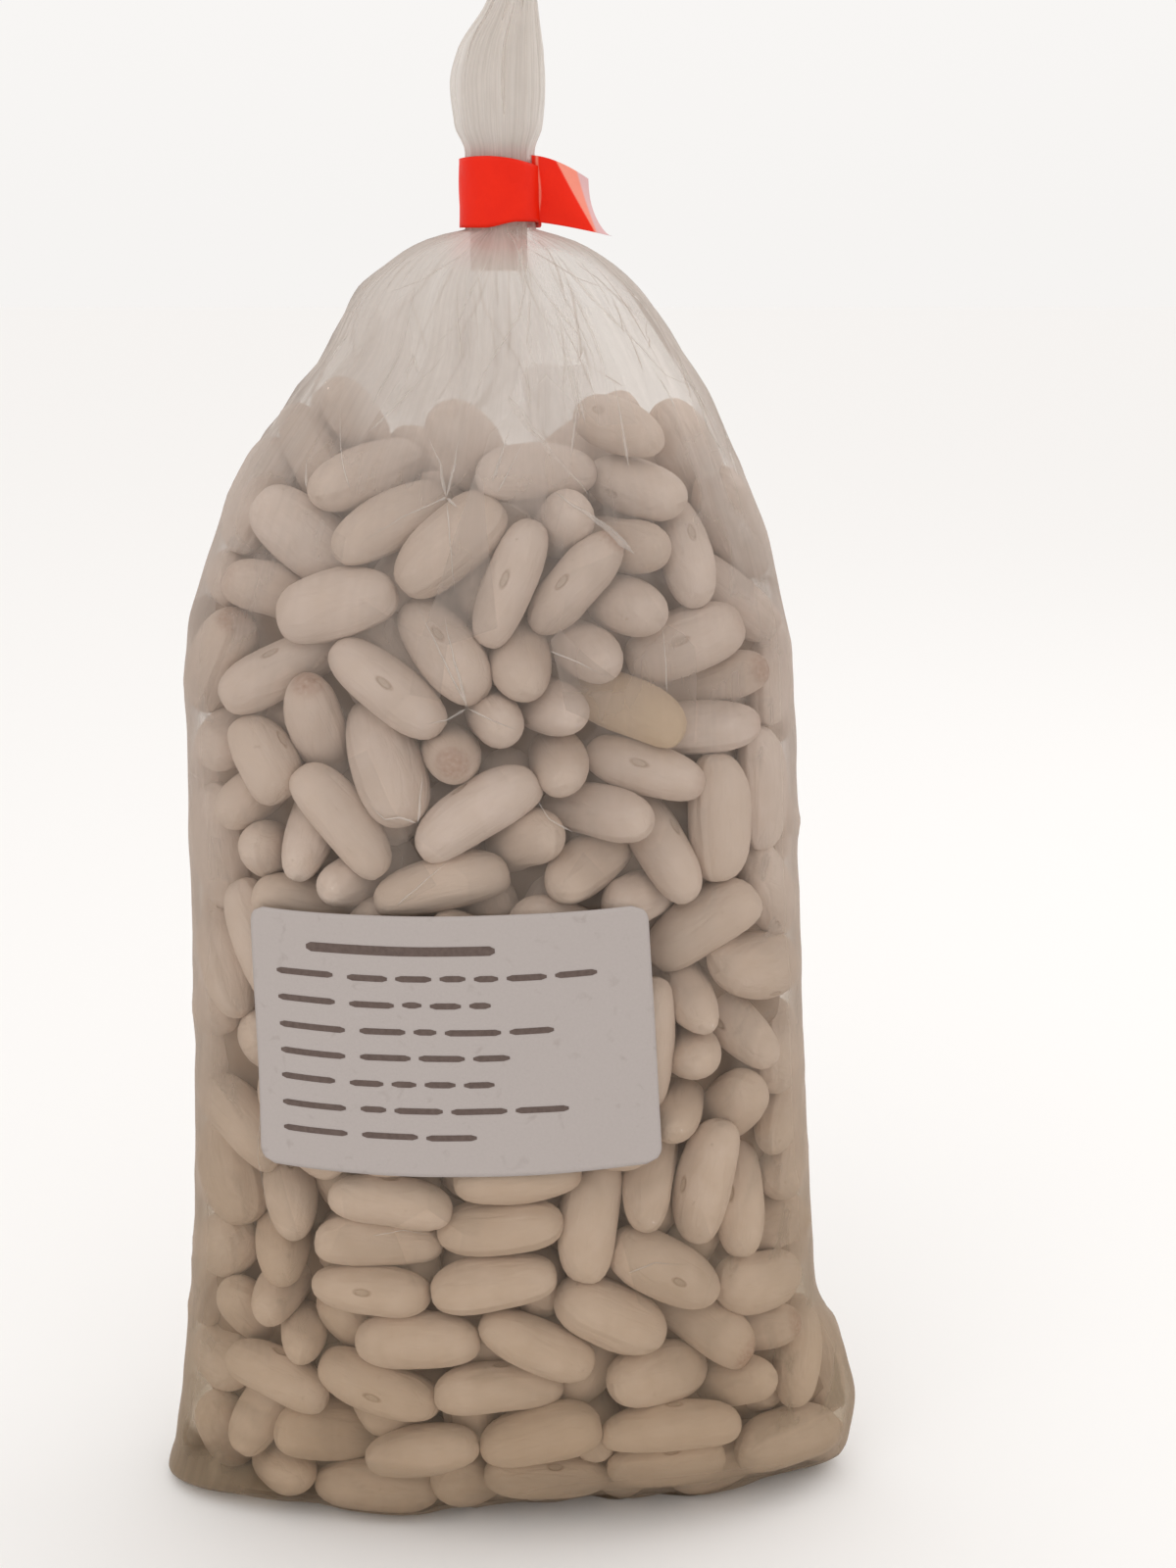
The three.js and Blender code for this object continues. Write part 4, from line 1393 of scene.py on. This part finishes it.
def castPolypropylene():
    # thin clear cast film: see-through, slightly milky, with sharp small gleams on its creases, partly real
    # gloss and partly a painted white highlight on the fold strips
    finish = filmFinish
    made, add, look = newMaterial("castPolypropylene", finish)
    paint = add("Attribute", attribute_name="filmLook")
    parts = add("SeparateColor", {"Color": paint}).outputs
    place = add("TexCoord").outputs["Object"]
    flat = add("Attribute", attribute_name="laidFlat").outputs["Vector"]
    near = add("Attribute", attribute_name="facets").outputs["Fac"]
    outline = add("Attribute", attribute_name="bagNormal").outputs["Vector"]

    # milkiness: what the sheet carries, in streaks and clouds, lighter patches on some facets near the folds
    # that are a painted reflection, and more at the outline
    stretched = add("Mapping", {"Vector": flat, "Scale": (
        1 / finish["streakWidth"], 1 / finish["streakWidth"], 1 / finish["streakLength"])})
    streaks = add("TexNoise", {"Vector": stretched, "Scale": 1, "Detail": 4})
    cloudy = add("TexNoise", {"Vector": place, "Scale": 1 / (finish["cloud"] * metre), "Detail": 3})
    uneven = add("Math", {0: streaks, 1: 0.8, 2: 0.2}, operation="MULTIPLY_ADD")
    uneven = add("Math", {0: cloudy, 1: 0.8, 2: uneven}, operation="MULTIPLY_ADD")
    haze = add("Math", {0: parts["Red"], 1: uneven}, operation="MULTIPLY", use_clamp=True)
    # lighter patches on flat facets near the folds: a painted reflection of the bright sky
    leaning = add("Mapping", {"Vector": flat, "Scale": (
        1 / finish["facetWidth"], 1 / finish["facetWidth"], 1 / finish["facetHeight"])})
    cells = add("TexVoronoi", {"Vector": leaning, "Scale": 1})
    cell = add("SeparateColor", {"Color": cells.outputs["Color"]}).outputs["Red"]
    reflectedFacet = add("Math", {0: cell, 1: 2.5}, operation="POWER")
    reflectedFacet = add("Math", {0: reflectedFacet, 1: finish["facetReflection"]}, operation="MULTIPLY")
    haze = add("Math", {0: reflectedFacet, 1: near, 2: haze}, operation="MULTIPLY_ADD", use_clamp=True)
    turnedAway = add("LayerWeight", {"Blend": 0.5, "Normal": outline}).outputs["Facing"]
    edge = add("MapRange", {"Value": turnedAway, "From Min": finish["edgeStart"],
                            "From Max": finish["edgeEnd"], "To Max": finish["edgeMilk"]})
    haze = add("Math", {0: haze, 1: edge}, operation="MAXIMUM")

    # the film's colours turn darker and warmer towards the bottom: painted shade
    clearColour, colour = (
        add("Mix", {"Factor": parts["Green"], "A": look[cool], "B": look[warm]}, data_type="RGBA")
        for cool, warm in (("clear", "shadedClearLowDown"), ("haze", "shadedHazeLowDown")))
    # white from the heap's top up, and pink below the tape, a painted reflection of the red tape
    for kind, share in (("white", paint.outputs["Alpha"]), ("tapeReflectionPink", parts["Blue"])):
        colour = add("Mix", {"Factor": share, "A": colour, "B": look[kind]}, data_type="RGBA")
    crinkle = add("TexNoise", {"Vector": place, "Scale": 1 / (finish["crinkle"] * metre), "Detail": 2,
                               "Distortion": 0.6})
    bump = add("Bump", {"Height": crinkle, "Strength": 0.3, "Distance": finish["bumpHeight"] * metre})
    scatter = add("BsdfDiffuse", {"Color": colour, "Normal": bump})
    through = add("BsdfTranslucent", {"Color": colour, "Normal": bump})
    milky = add("MixShader", {0: finish["translucent"], 1: scatter, 2: through})
    clear = add("BsdfTransparent", {"Color": clearColour})
    veiled = add("MixShader", {0: haze, 1: clear, 2: milky})
    facing = add("LayerWeight", {"Blend": 0.5, "Normal": bump}).outputs["Facing"]
    rim = add("Math", {0: facing, 1: 4}, operation="POWER")
    gleam = add("Math", {0: rim, 1: finish["rimGloss"], 2: finish["faceOnGloss"]}, operation="MULTIPLY_ADD",
                use_clamp=True)
    gloss = add("BsdfGlossy", {"Color": look["gleam"], "Roughness": finish["roughness"], "Normal": bump})
    add("OutputMaterial", {"Surface": add("MixShader", {0: gleam, 1: veiled, 2: gloss})})
    return made


tapeFinish = {
    "red": "#ed2400", "deep": "#df1b00", "pale": "#f0907c", "bare": "#dcb2b2",
    "roughness": 0.5, "ior": 1.49, "specular": 0.2,
    "patch": 3.333, "wrinkle": 2.381, "bumpHeight": 0.4,    # mm
}


def colouredTape():
    # self-adhesive polypropylene tape: bright, even, satin, pale where the print stops short, and with a
    # painted highlight down the flag's crease
    finish = tapeFinish
    made, add, look = newMaterial("colouredTape", finish)
    paint = add("Attribute", attribute_name="tapeLook")
    parts = add("SeparateColor", {"Color": paint}).outputs
    place = add("TexCoord").outputs["Object"]
    patches = add("TexNoise", {"Vector": place, "Scale": 1 / (finish["patch"] * metre), "Detail": 3})
    colour = look["red"]
    for kind, share in (("deep", patches), ("pale", parts["Red"]), ("bare", parts["Green"])):
        colour = add("Mix", {"Factor": share, "A": colour, "B": look[kind]}, data_type="RGBA")
    wrinkles = add("TexNoise", {"Vector": place, "Scale": 1 / (finish["wrinkle"] * metre), "Detail": 3,
                                "Distortion": 1})
    bump = add("Bump", {"Height": wrinkles, "Strength": 0.3, "Distance": finish["bumpHeight"] * metre})
    shader = add("BsdfPrincipled", {"Base Color": colour, "Roughness": finish["roughness"],
                                    "IOR": finish["ior"], "Specular IOR Level": finish["specular"],
                                    "Normal": bump})
    add("OutputMaterial", {"Surface": shader})
    return made


paperFinish = {
    "paper": "#b5aca8", "shade": "#aaa19d", "smudge": "#958a84",
    "roughness": 0.85, "ior": 1.5,
    "fibre": 0.4545, "rub": 3.03, "bumpHeight": 0.2,    # mm
}


def labelPaper():
    # uncoated white paper: matt, faintly fibrous, with a few rubbed smudges
    finish = paperFinish
    made, add, look = newMaterial("labelPaper", finish)
    place = add("Attribute", attribute_name="place").outputs["Vector"]
    fibres = add("TexNoise", {"Vector": place, "Scale": 1 / finish["fibre"], "Detail": 5, "Roughness": 0.7})
    rubbed = add("TexNoise", {"Vector": place, "Scale": 1 / finish["rub"], "Detail": 4, "Distortion": 0.6})
    spots = add("MapRange", {"Value": rubbed, "From Min": 0.63, "From Max": 0.78, "To Max": 0.5})
    colour = look["paper"]
    for kind, share in (("shade", fibres), ("smudge", spots)):
        colour = add("Mix", {"Factor": share, "A": colour, "B": look[kind]}, data_type="RGBA")
    bump = add("Bump", {"Height": fibres, "Strength": 0.25, "Distance": finish["bumpHeight"] * metre})
    shader = add("BsdfPrincipled", {"Base Color": colour, "Roughness": finish["roughness"],
                                    "IOR": finish["ior"], "Normal": bump})
    add("OutputMaterial", {"Surface": shader})
    return made


for finish, pieces in (
    (driedSeedCoat(), (beanHeap, innerHeap)), (dullFinish("shadedSeedCoat"), (beanCore,)),
    (castPolypropylene(), (filmSheet, filmFolds, tailSheet)), (colouredTape(), (neckTape,)),
    (labelPaper(), (paperLabel,)), (dullFinish("printInk"), (labelInk,)),
):
    for piece in pieces:
        piece.data.materials.append(finish)
print("materials made")


# the studio: a plain pale floor, soft light all round, and the photo's point of view

studio = {
    "floorSize": 12, "floor": "#f1f0ef", "floorRoughness": 0.9,
    "sky": "#f6f4f2", "horizonStrength": 1, "overheadStrength": 1.2,
    "lights": {    # place, size and power of each soft lamp, which points at the bag
        "keyLight": ((-0.35, -0.75, 0.95), 0.9, 1.2),
        "backLight": ((0.65, 0.25, 0.6), 0.6, 0.8),
    },
    "lightsAim": (0, 0, 0.12),
}


def buildStudio():
    scene = bpy.context.scene
    half = studio["floorSize"] / 2 / metre
    floor = meshPiece("floor", [(-half, -half, 0), (half, -half, 0), (half, half, 0), (-half, half, 0)],
                      [(0, 1, 2, 3)], smooth=False)
    board, add, look = newMaterial("paintedBoard", studio)    # matt and even, so that nothing draws the eye
    shader = add("BsdfPrincipled", {"Base Color": look["floor"], "Roughness": studio["floorRoughness"]})
    add("OutputMaterial", {"Surface": shader})
    floor.data.materials.append(board)
    floor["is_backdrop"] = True

    sky = bpy.data.worlds.new("softSky")
    scene.world = sky
    sky.use_nodes = True
    sky.node_tree.nodes.clear()
    add = partial(node, sky.node_tree)
    way = add("TexCoord").outputs["Generated"]
    height = add("SeparateXYZ", {0: way}).outputs["Z"]
    strength = add("MapRange", {"Value": height, "To Min": studio["horizonStrength"],
                                "To Max": studio["overheadStrength"]})
    add("OutputWorld", {"Surface": add("Background", {"Color": look["sky"], "Strength": strength})})

    for name, (place, size, power) in studio["lights"].items():
        data = bpy.data.lights.new(name, "AREA")
        data.shape = "DISK"
        data.size = size
        data.energy = power
        lamp = bpy.data.objects.new(name, data)
        lamp.location = place
        way = Vector(studio["lightsAim"]) - Vector(place)
        lamp.rotation_euler = way.to_track_quat("-Z", "Y").to_euler()
        scene.collection.objects.link(lamp)
    scene.view_settings.view_transform = "Standard"

    data = bpy.data.cameras.new("photoCamera")
    data.lens = camera["lens"]
    data.sensor_width = camera["sensor"]
    eye = bpy.data.objects.new("photoCamera", data)
    eye.location = (Vector(camera["aim"]) - Vector(viewAhead) * camera["distance"]) * metre
    eye.rotation_euler = (math.radians(90 - camera["elevation"]), 0, 0)
    scene.collection.objects.link(eye)
    scene.camera = eye


buildStudio()


# hand the pieces over

for piece in (beanHeap, innerHeap, beanCore, filmSheet, filmFolds, tailSheet):
    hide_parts("film_bag")
    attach(piece, "root")
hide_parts("neck_tape")
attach(neckTape, "root")
for piece in (paperLabel, labelInk):
    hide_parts("label")
    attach(piece, "root")

[[list(corner) for corner in box] for box in (cadBox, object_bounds())]
